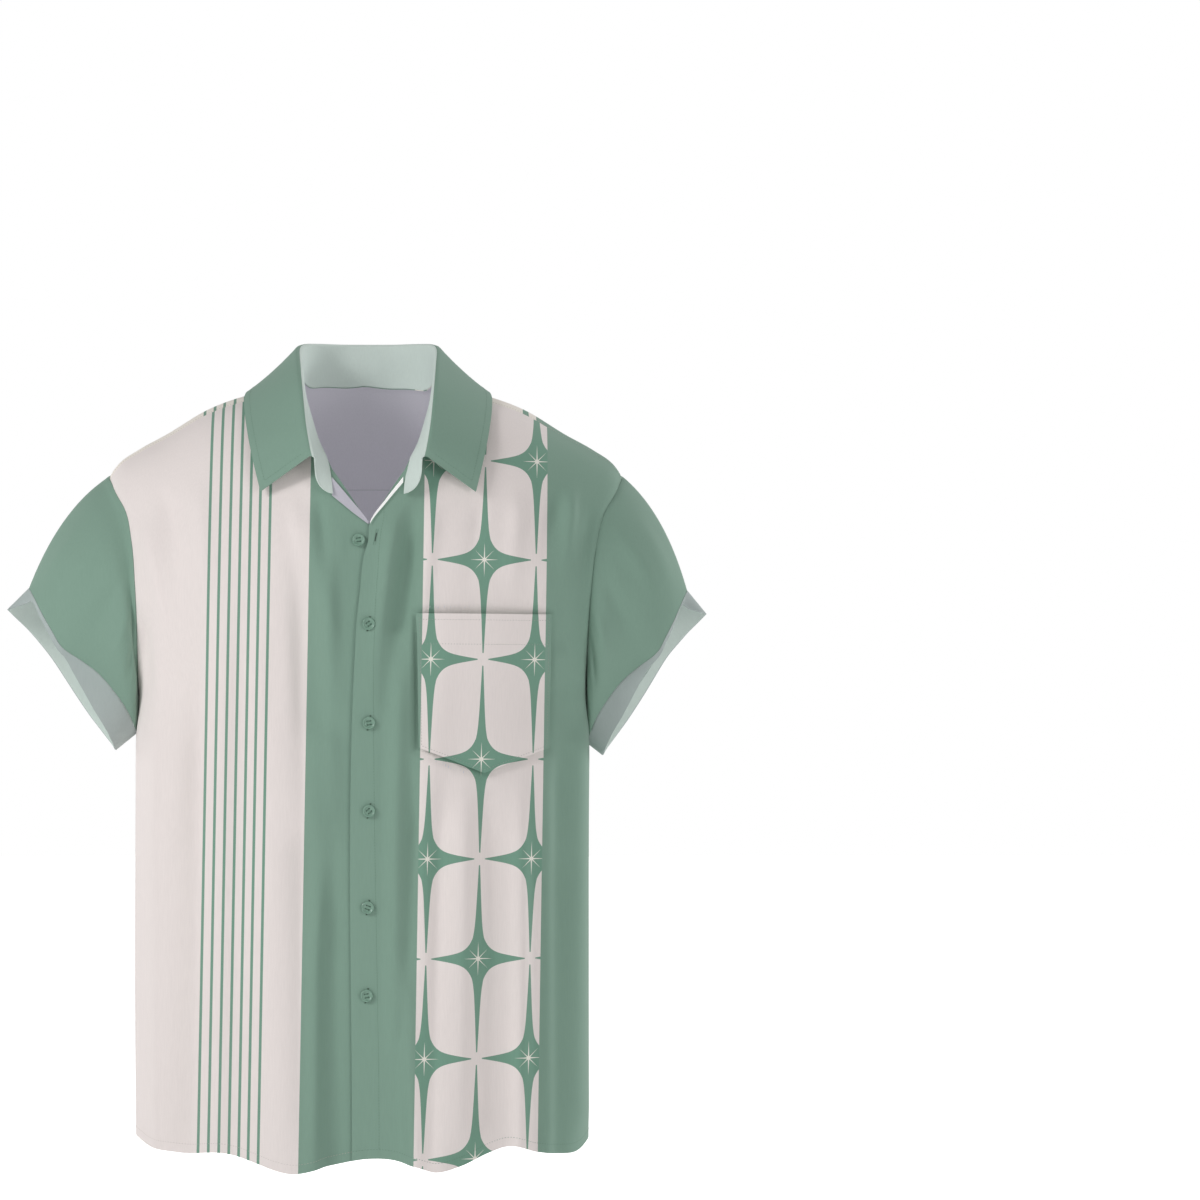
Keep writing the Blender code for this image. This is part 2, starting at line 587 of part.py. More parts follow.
def make_sleeve(collection, side, seam):
    """A sleeve from the armhole to the cuff, and its turned-up cuff."""
    word = "right" if side < 0 else "left"
    points, normal, share = arm_ring(seam)
    under = np.exp(-((share - 0.5) / UNDERARM_SPREAD) ** 2)[:, None]
    join = end_ring(side, share, "join_front", "join_back", 0, CUFF_HALF_DEPTH)
    away = join - points
    away /= np.linalg.norm(away, axis=-1, keepdims=True)
    start = points + normal * under * (LAPPED + UNDERARM_EASE) + away * SEAM_GAP
    rings = []
    crown = np.cos(share * 2 * math.pi) * 0.5 + 0.5
    swell = np.sin(share * 2 * math.pi)
    for i in range(SLEEVE_RINGS + 1):
        t = i / SLEEVE_RINGS
        hump = 4 * t * (1 - t)
        ring = start * (1 - t) + join * t
        ring[:, 2] += hump * SLEEVE_CROWN * crown
        ring[:, 0] += side * hump * SLEEVE_CROWN * 0.5 * crown
        ring[:, 1] -= hump * SLEEVE_FRONT_SWELL * swell
        rings.append(ring)
    middle = np.stack(rings)
    facing = grid_normals(middle, closed=True)
    centre = middle.mean(axis=1, keepdims=True)
    facing *= np.sign(np.sum(facing * (middle - centre), axis=-1, keepdims=True))
    rows = np.linspace(0.0, 1.0, SLEEVE_RINGS + 1)[:, None]
    relief = np.zeros(middle.shape[:2])
    for around, down, width, height in SLEEVE_FOLDS:
        near = np.abs((share[None, :] - around + 0.5) % 1.0 - 0.5)
        lengthways = np.exp(-((rows - down) / SLEEVE_FOLD_REACH) ** 2)
        relief += height * MM * np.exp(-(near / width) ** 2) * lengthways
    relief *= np.sin(rows * math.pi) * (1 - under[:, 0])
    middle = middle + facing * relief[..., None]
    facing[0] = facing[0] * under + normal * (1 - under)
    facing[0] /= np.linalg.norm(facing[0], axis=-1, keepdims=True)
    end = middle[-1].copy()
    end_normal = facing[-1].copy()
    tangent = np.roll(end, -1, 0) - np.roll(end, 1, 0)
    tangent /= np.linalg.norm(tangent, axis=-1, keepdims=True)
    forward = end - middle[-2]
    forward -= tangent * np.sum(forward * tangent, axis=-1, keepdims=True)
    forward /= np.linalg.norm(forward, axis=-1, keepdims=True)
    middle[-1] -= forward * CUFF_SEAM
    add_wall(collection, "sleeve_" + word, middle, facing, WALL, "green", closed=True)
    fold = end_ring(side, share, "fold_front", "fold_back", 2, CUFF_HALF_DEPTH + CUFF_FLARE)
    span = fold - end
    reach = np.sum(span * forward, axis=-1, keepdims=True)
    slip = np.sum(span * tangent, axis=-1, keepdims=True)
    steady = ramp(reach, 0.0, 3 * CUFF_LEAST)
    fold += forward * np.maximum(CUFF_LEAST - reach, 0.0) - tangent * slip * (1 - steady)
    body = [end + (fold - end) * (i / CUFF_RINGS) for i in range(CUFF_RINGS + 1)]
    cuff = np.stack(body)
    cuff_normal = np.repeat(end_normal[None], CUFF_RINGS + 1, axis=0)
    add_wall(collection, "cuff_" + word, cuff, cuff_normal, CUFF_WALL, "pale", closed=True)


def collar_rows(marks):
    """Neck seam, fold and free edge of the collar at marks from -1 (right) to 1 (left)."""
    size = np.abs(marks)
    side = np.where(marks < 0, -1.0, 1.0)
    steps = np.linspace(0.0, 1.0, len(COLLAR["fold_y"]))
    curves = {"mark": steps}
    found = {}
    for name in COLLAR:
        curves["value"] = COLLAR[name]
        found[name] = smooth(curves, "mark", "value", size)
    seam_out = {"mark": steps, "value": np.array([row[0] for row in NECK_SEAM]) * MM}
    seam_fall = {"mark": steps, "value": np.array([row[1] for row in NECK_SEAM]) / 90.0}
    out = smooth(seam_out, "mark", "value", size)
    fall = smooth(seam_fall, "mark", "value", size)
    lam = (side * out + NECK_CENTRE_X) / SHOULDER_HALF
    theta = np.sign(lam) * np.arcsin(np.abs(lam) ** (SECTION_POWER / 2))
    seam = torso(theta, fall) + torso_normal(theta, fall) * (WALL / 2 + STAND_FOOT)
    last = ramp(size, STAND_END_START, 1.0)[:, None]
    end = np.stack([side * STAND_END[0] + NECK_CENTRE_X, np.full_like(size, STAND_END[1]),
                    np.full_like(size, STAND_END[2])], axis=-1)
    seam = seam * (1 - last) + end * last
    fold = np.stack([side * found["fold_out"] + NECK_CENTRE_X, found["fold_y"],
                     found["fold_z"]], axis=-1)
    edge = np.stack([side * found["edge_out"] + NECK_CENTRE_X, found["edge_y"],
                     found["edge_z"]], axis=-1)
    return seam, fold, edge


def make_collar(collection):
    """The stand up from the neck seam, and the fall rolled over its top edge."""
    back_shares, front_shares = neck_shares()
    half_marks = np.concatenate([back_shares, front_shares[1:]])
    marks = np.concatenate([-half_marks[::-1], half_marks[1:]])
    seam, fold, edge = collar_rows(marks)
    up = (fold - seam) / np.linalg.norm(fold - seam, axis=-1, keepdims=True)
    down = (edge - fold) / np.linalg.norm(edge - fold, axis=-1, keepdims=True)
    top = (up - down) / np.linalg.norm(up - down, axis=-1, keepdims=True)
    outward = up + down - top * np.sum((up + down) * top, axis=-1, keepdims=True)
    outward /= np.linalg.norm(outward, axis=-1, keepdims=True)
    start = np.arccos(np.clip(np.sum(up * top, axis=-1, keepdims=True), 0.0, 1.0))
    rolled = []
    for share in np.linspace(0.0, 1.0, ROLL_STEPS + 1):
        angle = start + (math.pi - 2 * start) * share
        over = top * (np.sin(angle) - 1) - outward * np.cos(angle)
        rolled.append(fold + over * (COLLAR_ROLL / 2 + OPEN_ROLL * start))
    stand_top = rolled[0]
    stand = np.stack([seam + (stand_top - seam) * t for t in np.linspace(0.0, 1.0, STAND_STEPS + 1)])
    forward = np.zeros_like(fold)
    for end, inner in ((0, 1), (-1, -2)):
        forward[end] = fold[end] - fold[inner]
        forward[end] /= np.linalg.norm(forward[end])
    stand = stand + forward[None] * np.array(STAND_BULGE)[:, None, None] * STAND_ROUNDING
    over_top = ROLL_STEPS // 2
    stand = np.concatenate([stand, np.stack(rolled[1:over_top + 1])])
    stand_normal = grid_normals(stand)
    add_wall(collection, "collar_stand", inset(stand, ["top"]), stand_normal, WALL, "pale")
    last = rolled[-1]
    for share in np.linspace(0.0, 1.0, LEAF_STEPS + 1)[1:]:
        rolled.append(last + (edge - last) * share)
    fall = np.stack(rolled[over_top:])
    normal = grid_normals(fall)
    normal[0] = stand_normal[-1] * np.sign(np.sum(stand_normal[-1] * normal[0], axis=-1,
                                                  keepdims=True))
    add_wall(collection, "collar_fall", inset(fall, ["bottom"]), normal, WALL, "green")


def make_turnback(collection, side):
    """The narrow strip beside the open neck that turns back over the front."""
    word = "right" if side < 0 else "left"
    edge = EDGE_OVER if side > 0 else EDGE_UNDER
    share = np.linspace(0.0, TURNBACK_REACH, TURNBACK_ROWS + 1)
    heights = V_BOTTOM_HEIGHT + (V_TOP_HEIGHT - V_BOTTOM_HEIGHT) * share
    drop = TURNBACK_LEAST + (TURNBACK_DROP[word] - TURNBACK_LEAST) * share ** TURNBACK_CURVE
    columns = np.linspace(0.0, 1.0, TURNBACK_COLUMNS + 1)
    x = np.repeat(smooth(edge, "height", "x", heights)[:, None], len(columns), axis=1)
    z = heights[:, None] - drop[:, None] * columns[None]
    points, normal = front_points(side, place(x, z, -1))
    lifted = points + normal * (LAPPED + TURNBACK_EASE)
    add_wall(collection, "turnback_" + word, lifted, normal, WALL, "pale")


def make_pocket(collection):
    """The breast pocket, made from the front's points moved out."""
    across = np.linspace(0.0, 1.0, POCKET_COLUMNS + 1)
    down = np.linspace(0.0, 1.0, POCKET_ROWS + 1)
    dip = (POCKET_CORNER - POCKET_POINT) * (1 - np.abs(2 * across - 1))
    bottom = POCKET_CORNER - dip
    left = POCKET_LEFT + POCKET_TAPER * down
    right = POCKET_RIGHT - POCKET_TAPER * down
    x = left[:, None] + (right - left)[:, None] * across[None]
    z = POCKET_TOP + (bottom - POCKET_TOP)[None] * down[:, None]
    points, normal = front_points(1, place(x, z, -1))
    full = np.sin(math.pi * across)[None] * ramp(1 - down, 0.0, 1.0)[:, None]
    lifted = points + normal * (LAPPED + POCKET_EASE + POCKET_FULLNESS * full)[..., None]
    add_wall(collection, "pocket", lifted[::-1], normal[::-1], WALL, "cream")


def button_mesh():
    """A dished disc with a raised rim and four thread holes, lying flat and facing +Z."""
    disc = bmesh.new()
    verts = [disc.verts.new((out * BUTTON_RADIUS, 0.0, up * BUTTON_THICK))
             for out, up in BUTTON_PROFILE]
    edges = [disc.edges.new(pair) for pair in zip(verts[:-1], verts[1:])]
    bmesh.ops.spin(disc, geom=verts + edges, axis=(0, 0, 1), cent=(0, 0, 0),
                   angle=2 * math.pi, steps=BUTTON_SIDES)
    bmesh.ops.remove_doubles(disc, verts=disc.verts, dist=WELD_DISTANCE)
    bmesh.ops.recalc_face_normals(disc, faces=disc.faces)
    mesh = bpy.data.meshes.new("button")
    disc.to_mesh(mesh)
    disc.free()
    return mesh


def hole_cutter(collection):
    """Four thread holes as one cutter."""
    mesh = bpy.data.meshes.new("thread_holes")
    tool = bmesh.new()
    for sx in (-1, 1):
        for sy in (-1, 1):
            spot = Vector((sx * BUTTON_HOLE_PITCH, sy * BUTTON_HOLE_PITCH, BUTTON_THICK / 2))
            bmesh.ops.create_cone(tool, cap_ends=True, segments=HOLE_SIDES,
                                  radius1=BUTTON_HOLE_RADIUS, radius2=BUTTON_HOLE_RADIUS,
                                  depth=HOLE_DEPTH,
                                  matrix=Matrix.Translation(spot))
    tool.to_mesh(mesh)
    tool.free()
    cutter = bpy.data.objects.new("thread_holes", mesh)
    cutter.hide_render = True
    cutter.display_type = "WIRE"
    collection.objects.link(cutter)
    return cutter


def make_buttons(collection, cutters):
    """Six buttons, each flat on the front that carries it."""
    finish = material("button", "green", BUTTON_ROUGHNESS)
    mesh = button_mesh()
    pattern = hole_cutter(cutters)
    for i, (x, z) in enumerate(zip(BUTTONS["x"], BUTTONS["z"])):
        side = -1 if i == 0 else 1
        spot, normal = front_points(side, place(np.array([x]), np.array([z]), -1))
        base = Vector(spot[0]) + Vector(normal[0]) * (WALL / 2 + BUTTON_STAND_OFF)
        turn = Vector(normal[0]).to_track_quat("Z", "Y").to_matrix().to_4x4()
        spin = Matrix.Rotation(math.radians(BUTTON_TURNS[i]), 4, "Z")
        button = add_object(collection, "button_" + str(i + 1), mesh.copy(), finish)
        button.matrix_world = Matrix.Translation(base) @ turn @ spin
        holes = pattern.copy()
        cutters.objects.link(holes)
        holes.matrix_world = button.matrix_world
        cut = button.modifiers.new("thread holes", "BOOLEAN")
        cut.operation = "DIFFERENCE"
        cut.object = holes
    bpy.data.objects.remove(pattern)


def main():
    for old in list(bpy.data.objects):
        bpy.data.objects.remove(old, do_unlink=True)
    shirt = bpy.data.collections.new("hawaiian_shirt")
    cutters = bpy.data.collections.new("cutters")
    bpy.context.scene.collection.children.link(shirt)
    bpy.context.scene.collection.children.link(cutters)
    right = seams(-1)
    left = seams(1)
    make_front(shirt, "front_right", -1, right)
    make_front(shirt, "front_left", 1, left)
    make_back_and_yoke(shirt, right, left)
    make_sleeve(shirt, -1, right)
    make_sleeve(shirt, 1, left)
    make_collar(shirt)
    make_turnback(shirt, -1)
    make_turnback(shirt, 1)
    make_pocket(shirt)
    make_buttons(shirt, cutters)


main()
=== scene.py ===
"""Looks of the hawaiian shirt: thin cloth shells with their print, folds, sewing and buttons.

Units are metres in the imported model's frame: +Z up, the wearer faces -Y and the wearer's
left is +X.  The torso is the same surface as in the CAD model: a rounded cross-section hung
from the shoulder ridge, where theta is the angle round the body and q the fall over the
ridge.  Each shell is a patch of it between its seams, with finer folds.
"""
import math

import bmesh
import bpy
import numpy as np
from mathutils import Matrix, Vector

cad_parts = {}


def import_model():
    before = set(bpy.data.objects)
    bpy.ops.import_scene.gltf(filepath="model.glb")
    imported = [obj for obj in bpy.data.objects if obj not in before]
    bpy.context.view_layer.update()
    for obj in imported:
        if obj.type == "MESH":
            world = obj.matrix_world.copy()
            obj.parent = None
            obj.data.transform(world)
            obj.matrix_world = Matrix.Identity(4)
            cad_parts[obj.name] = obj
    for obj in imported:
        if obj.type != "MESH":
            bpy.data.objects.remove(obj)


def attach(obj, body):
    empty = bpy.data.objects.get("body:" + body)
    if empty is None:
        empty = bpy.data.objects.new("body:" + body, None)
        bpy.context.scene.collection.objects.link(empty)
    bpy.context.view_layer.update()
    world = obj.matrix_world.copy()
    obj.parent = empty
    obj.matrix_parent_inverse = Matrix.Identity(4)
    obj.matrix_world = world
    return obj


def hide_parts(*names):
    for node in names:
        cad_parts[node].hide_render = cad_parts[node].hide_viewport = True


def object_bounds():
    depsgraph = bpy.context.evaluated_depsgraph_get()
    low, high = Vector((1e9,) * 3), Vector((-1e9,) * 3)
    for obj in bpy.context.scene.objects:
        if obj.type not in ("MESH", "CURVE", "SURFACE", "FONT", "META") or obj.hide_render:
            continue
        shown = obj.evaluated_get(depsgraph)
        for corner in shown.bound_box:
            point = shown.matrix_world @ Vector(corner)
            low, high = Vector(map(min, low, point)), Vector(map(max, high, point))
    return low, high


MM = 0.001

# Camera: 8 m in front, turned so that the shirt lands where the photo has it
CAMERA_LENS = 240.0
CAMERA_SENSOR = 36.0
CAMERA_PLACE = (-0.004, -8.0, -0.358)
CAMERA_TARGET = (0.234, 0.0, -0.200)
FLOOR_BELOW = 0.06
FLOOR_SIZE = 60.0
FLOOR_COLOUR = (0.8, 0.8, 0.8)
FLOOR_ROUGHNESS = 0.9
AMBIENT = 0.27
LAMPS = [
    # name, place, size, power
    ("key", (-3.6, -2.5, 2.0), 1.5, 98.0),
    ("fill", (3.0, -3.4, 0.6), 1.6, 30.0),
    ("back_key", (3.6, 2.5, 2.0), 1.5, 98.0),
    ("back_fill", (-3.0, 3.4, 0.6), 1.6, 30.0),
]
LAMP_TARGET = (0.0, 0.0, -0.36)

# Cloth: thicknesses of the shells and of the CAD walls, gaps and grooves at seams
CLOTH = 0.7 * MM
COLLAR_CLOTH = 1.3 * MM
CUFF_CLOTH = 1.2 * MM
WALL = 1.6 * MM
SEAM_GAP = 0.1 * MM
SEAM_DEPTH = 0.7 * MM
SEAM_SHARE = 0.35
SEAM_QUIET = 20 * MM
LAPPED = WALL + 0.3 * MM
SHELL_SHARP = math.radians(60)
# Border line, the line beside it and the axis that counts them, for each edge of a grid
GRID_EDGES = {"bottom": (0, 1, 0), "top": (-1, -2, 0), "left": (0, 1, 1), "right": (-1, -2, 1)}

# Torso
SECTION_POWER = 2.2
SHOULDER_HALF = 285 * MM
FALL_AT_NECK = 190 * MM
FALL_NARROWING = 50 * MM
NECK_CENTRE_X = 2 * MM
# A place inside the torso, and the step in angle and fall for its normals
TORSO_CENTRE = (0.0, 0.0, -0.3)
NORMAL_STEP = 0.004
RIGHT_ANGLE = 90.0

# Faces across and down each panel
SHOULDER_COLUMNS = 54
NECK_COLUMNS = 42
BACK_NECK_COLUMNS = 48
V_COLUMNS = 18
SIDE_ROWS = 84
FRONT_ARM_ROWS = 60
BACK_ARM_ROWS = 48
YOKE_ROWS = 30
SLEEVE_RINGS = 44
CUFF_RINGS = 12
SIDE_REACH = 2.5
ARMHOLE_CROWDING = 1.45


def table(columns, rows, scale=MM):
    """Rows of numbers as named columns, in metres unless another scale is given."""
    values = np.array(rows, dtype=float) * scale
    return {name: values[:, i] for i, name in enumerate(columns.split())}


# Shoulder ridge: height against the distance from the middle
RIDGE = table("out height", [
    (0, 45), (40, 33), (66, 18), (95, 9), (125, 2), (156, -10), (197, -35),
    (225, -50.5), (246, -65), (257, -78), (285, -105)])

# Half width, middle line and depth of the hanging cloth, by height
TORSO = table("height half_width middle front back", [
    (60, 285, 0, 128, 120), (-77, 285, 0, 128, 121), (-110, 279, -0.5, 128, 123),
    (-143, 272, -1.5, 130, 125), (-184, 262, -2.5, 132, 127), (-215, 252, -3, 133, 128),
    (-255, 236, -3.5, 134, 128), (-290, 224, -3.5, 134, 127), (-340, 225.2, -4, 134, 125),
    (-400, 225, -4.5, 133, 122), (-550, 225.5, -4.5, 132, 120), (-780, 225.5, -3, 136, 127)])

# Armhole seam, shoulder to underarm: distance from the middle line, by height
ARMHOLE_FRONT = table("height out", [
    (-77, 256.5), (-95, 248.5), (-110, 239.5), (-143, 231), (-184, 226.5), (-215, 224.5),
    (-255, 223.5), (-290, 223.5)])
ARMHOLE_BACK = table("height out", [
    (-77, 256.5), (-95, 247), (-120, 234.5), (-150, 226), (-184, 221), (-215, 219),
    (-255, 219.5), (-290, 223.5)])
UNDERARM_HEIGHT = -290 * MM
SHOULDER_OUT = 256.5 * MM

# Neck seam from the middle of the back round to the front: distance out and place over
# the ridge in degrees of fall, back positive
NECK_SEAM = table("out fall", [
    (0, 31.5), (25, 29.5), (46, 24), (60, 16.5), (65.5, 0), (64, -20), (58.5, -36),
    (49.5, -52.5), (40, -62), (35.5, -66)], 1.0)
NECK_POINT_SHARE = 4.85 / 9
SHOULDER_SEAM_FALL_OUTER = -10.0

# Yoke seam across the back
YOKE_SEAM_MIDDLE = -86 * MM
YOKE_SEAM_END = -100 * MM

# Fronts: cut edge of the opening by height, wearer's right (under) and left (over)
V_TOP_HEIGHT = -82 * MM
V_BOTTOM_HEIGHT = -126 * MM
EDGE_UNDER = table("height x", [
    (-82, -33.5), (-104, -15), (-126, 2.3), (-150, 9), (-190, 14.5), (-260, 16), (-760, 16)])
EDGE_OVER = table("height x", [
    (-82, 36), (-104, 19), (-126, 3.9), (-145, 1.9), (-157, -1.6), (-199, -6.5),
    (-222, -9.1), (-262, -11.3), (-760, -13.8)])
PLACKET_LIFT = 1.4 * MM
PLACKET_FADE = 40 * MM
PLACKET_WIDTH = 27 * MM
PLACKET_STEP = 0.45 * MM
PLACKET_SLOPE = 2.4 * MM
# Where the fronts lap: a margin beside the over edge, the distances from it over which folds
# come in, the share of them left at it, and the places across where the under front gets them
LAP_MARGIN = 4 * MM
LAP_QUIET = (6 * MM, 34 * MM)
LAP_FOLDS = 0.25
UNDER_LAP = (10 * MM, 45 * MM)

# Hem outline of the fronts and the back, the level that spreads its places round the body, a
# place across beyond both sides, and the height at which the foot of a front edge is read
HEM_LEVEL = -740 * MM
HEM_REACH = 260 * MM
EDGE_FOOT = -752 * MM
HEM_FRONT = table("x height", [
    (-230, -732), (-215, -741), (-187, -747), (-133, -748), (-105, -757), (-74, -766),
    (-34, -758), (0, -752), (28, -753), (48, -759), (69, -765), (91, -760), (123, -746),
    (139, -741), (170, -747), (190, -749), (212, -746), (224, -734)])
HEM_BACK = table("x height", [
    (-230, -732), (-200, -742), (-160, -745), (-120, -746), (-80, -752), (-40, -749),
    (10, -745), (60, -749), (100, -752), (140, -748), (180, -743), (224, -734)])

# Folds: a line from top to end, its half width, and how far the cloth stands out
FOLD_COLUMNS = "x_top z_top x_end z_end width height_top height_end"
# Shares of a fold's length over which it comes in, and past its end before it is gone
FOLD_START = (-0.12, 0.2)
FOLD_END = 0.12
FRONT_FOLDS = table(FOLD_COLUMNS, [
    (-190, -380, -200, -790, 22, 0, 6), (-136, -340, -138, -790, 24, 0, -9),
    (-72, -330, -74, -790, 26, 2, 12), (-10, -420, -4, -790, 34, 0, -7),
    (64, -400, 68, -790, 24, 0, 12), (130, -360, 134, -790, 26, 0, -10),
    (186, -360, 192, -790, 22, 0, 8), (-66, -100, -44, -320, 15, 0, -6),
    (-96, -110, -60, -420, 20, 0, 6), (46, -106, 32, -225, 13, 0, -4),
    (86, -110, 60, -400, 18, 0, 5), (-176, -110, -196, -420, 20, 0, 7),
    (182, -110, 190, -440, 18, 0, 6)])
BACK_FOLDS = table(FOLD_COLUMNS, [
    (-190, -360, -196, -790, 24, 0, 7), (-120, -110, -122, -790, 24, 3, -8),
    (-60, -100, -70, -790, 26, -3, 10), (0, -240, 0, -790, 32, 0, -7),
    (70, -105, 74, -790, 26, 3, 10), (130, -120, 136, -790, 24, -3, -8),
    (190, -360, 194, -790, 22, 0, 8)])

# Smaller folds that only the shells have.  They come in below the neck of the fronts between
# two heights, and on the back between two falls over the ridge
CREASE_STRENGTH = 1.3
NECK_QUIET = (-60 * MM, -120 * MM)
RIDGE_QUIET = (0.35, 0.75)
FRONT_CREASES = table(FOLD_COLUMNS, [
    # from the right armhole and shoulder
    (-216, -130, -188, -280, 9, 5, -1), (-200, -96, -180, -210, 8, -4, 0),
    (-168, -80, -152, -230, 11, 3.5, 0), (-222, -220, -206, -330, 7, -4, 0),
    # long soft folds in the cream side
    (-206, -250, -202, -720, 12, 4, 4), (-170, -280, -174, -720, 15, -8, -6),
    (-140, -220, -144, -740, 13, 5, 4), (-104, -220, -108, -620, 12, 4, 2),
    (-90, -300, -92, -740, 13, 4, 3), (-64, -180, -60, -700, 12, -5, -3),
    (-40, -520, -44, -750, 10, -4, -4),
    # fan from the open neck and the first button
    (-58, -120, -26, -330, 8, 4, -2.5), (-46, -108, -30, -230, 6, -3.5, 2),
    (-36, -160, -24, -480, 10, 6, 2), (-26, -430, -24, -740, 10, -9, -8),
    (-48, -480, -50, -750, 10, 5, 7),
    (-70, -110, -50, -260, 8, 3, 0), (-24, -136, -18, -200, 5, 2.5, 0),
    (24, -128, 2, -290, 9, 7, 2), (46, -118, 24, -300, 10, -8, -2),
    (66, -112, 50, -260, 8, 3, 1), (32, -260, 28, -620, 9, 4.5, 3), (44, -380, 40, -620, 8, -4, -2),
    (40, -560, 48, -756, 8, 4, 5),
    # from the left armhole and down the green side
    (204, -88, 192, -240, 7, 5, -2), (224, -120, 204, -300, 7, -4.5, 2),
    (190, -96, 170, -200, 8, -3.5, 1), (228, -200, 206, -330, 6, 4, -1),
    (212, -280, 212, -700, 9, 5, 3), (194, -320, 192, -740, 9, -5, -4),
    # in the stars
    (96, -390, 92, -720, 11, 4.5, 3), (122, -400, 118, -700, 10, -4, -3),
    (152, -390, 150, -740, 10, 4.5, 5), (74, -400, 66, -740, 9, -4, -3),
    (170, -420, 172, -720, 8, -3, -3), (150, -100, 142, -200, 9, 4, 0),
    (112, -110, 100, -200, 8, -2.5, 0)])
BACK_CREASES = table(FOLD_COLUMNS, [
    (-196, -130, -170, -330, 9, -5, 2), (-208, -180, -204, -520, 9, 4.5, -3),
    (-222, -140, -196, -260, 7, 4, -1), (-150, -100, -148, -320, 9, 3.5, 0),
    (-92, -88, -96, -420, 10, 3.5, -3), (-64, -90, -60, -300, 7, -3, 1),
    (-34, -88, -30, -380, 9, -3.5, 2), (22, -88, 26, -440, 9, 3.5, -2),
    (52, -90, 40, -320, 8, -4, 2), (78, -90, 72, -260, 7, 4, 0),
    (100, -92, 88, -380, 10, 4.5, -2), (118, -92, 112, -320, 7, -4, 2),
    (160, -110, 166, -540, 10, 4, -3), (198, -140, 192, -440, 9, -5, 2),
    (222, -130, 200, -270, 7, 4.5, -1), (-160, -420, -166, -744, 11, -3, 4),
    (-120, -460, -112, -744, 9, 2.5, -3), (34, -430, 36, -744, 11, 3, -4),
    (106, -460, 104, -744, 10, -3, 4), (186, -430, 190, -740, 9, 3, -3)])
# The yoke seam presses the cloth in, and leaves a share of the folds beside it
YOKE_DIP = 0.5 * MM
YOKE_DIP_REACH = 3 * MM
YOKE_QUIET = 9 * MM
YOKE_FOLDS = 0.2
GATHER_START = 3 * MM
# Short gathers above the yoke seam: place across, length, half width and height
YOKE_GATHERS = table("x length width height", [
    (-140, 22, 4, 1.1), (-118, 30, 5, -1.3), (-101, 36, 4, 1.4), (-88, 30, 4, -1.2),
    (-74, 40, 5, 1.5), (-60, 34, 4, -1.4), (-45, 24, 4, 1.0), (34, 28, 4, 1.2),
    (47, 36, 4, -1.3), (60, 40, 5, 1.5), (74, 34, 4, -1.4), (88, 38, 4, 1.3),
    (101, 30, 4, -1.1), (116, 24, 5, 1.0)])

# Sleeve ends, seen from the front: where the cloth meets the turned-up cuff (join) and the
# folded cuff edge (fold), at the top and at the underarm, for each arm
SLEEVE_ENDS = {
    "right": table("x z", [(-336, -188.6), (-228.9, -333), (-357.7, -210.2), (-249.8, -350)]),
    "left": table("x z", [(320.9, -190.6), (221.3, -343), (340.3, -214.2), (236.7, -355)]),
}
CUFF_HALF_DEPTH = 37 * MM
CUFF_FLARE = 2 * MM
SLEEVE_CROWN = 11 * MM
CROWN_OUT = 0.5
SLEEVE_FRONT_SWELL = 12 * MM
# How far each end line bows past its straight chord, by the share of the way down
CUFF_BOW = table("down join_front join_back fold_front fold_back", [
    (0, 0, 0, 0, 0), (0.05, 1, 2, -22, -1), (0.15, 4, 5, -24.5, -3.5), (0.27, 6.5, 9, -21, -4.7),
    (0.38, 8, 12, -18.5, -4.5), (0.5, 0.5, 13, -15, -3), (0.6, -5, 12, -12.5, -1.5),
    (0.75, -7.5, 9, -8.5, 0), (0.9, -5.5, 4, -5, 0), (1, 0, 0, 0, 0)], 1.0)
CUFF_LEAST = 4 * MM
CUFF_STEADY = 3 * CUFF_LEAST
CUFF_SEAM = 0.2 * MM
RING_TOP_SHIFT = 0.35
UNDERARM_SPREAD = 0.22
UNDERARM_LIFT = 0.5 * MM
UNDERARM_FILL = 1.3 * MM
# Seam allowance of the sleeve inside the armhole: depth behind the body and reach under it
TUCK_EDGE = (1.3 * MM, -0.6 * MM)
TUCK_END = (2.2 * MM, 4 * MM)
# Hollow beside the armhole seam on the front of the right sleeve: share down, width, depth
SLEEVE_HOLLOW = (0.07, 0.12, 5.0 * MM)
SLEEVE_HOLLOW_START = 0.06
# Dip beside the armhole seam, and how far down the folds reach, as shares of the length
SLEEVE_DIP = 0.6 * MM
SLEEVE_DIP_REACH = 0.03
SLEEVE_FOLD_REACH = 0.4
SLEEVE_CREASE_REACH = 0.3
SLEEVE_FOLDS = [
    # share round from the top (front 0..0.5), share down, half width, height in mm
    (0.12, 0.75, 0.05, 4), (0.24, 0.7, 0.05, -5), (0.34, 0.55, 0.04, 5), (0.43, 0.5, 0.035, -4),
    (0.62, 0.6, 0.05, -5), (0.74, 0.7, 0.06, 5), (0.88, 0.75, 0.05, -4)]
SLEEVE_CREASES = [
    (0.16, 0.45, 0.02, 2.5), (0.25, 0.4, 0.018, -3.0), (0.31, 0.35, 0.016, 3.6),
    (0.365, 0.35, 0.014, -4.0), (0.42, 0.4, 0.014, 3.6), (0.46, 0.5, 0.012, -2.6),
    (0.07, 0.5, 0.02, -2.0), (0.56, 0.4, 0.016, 3.2), (0.63, 0.4, 0.016, -3.4),
    (0.70, 0.35, 0.018, 3.0), (0.8, 0.4, 0.02, -2.6), (0.93, 0.5, 0.02, -1.6)]

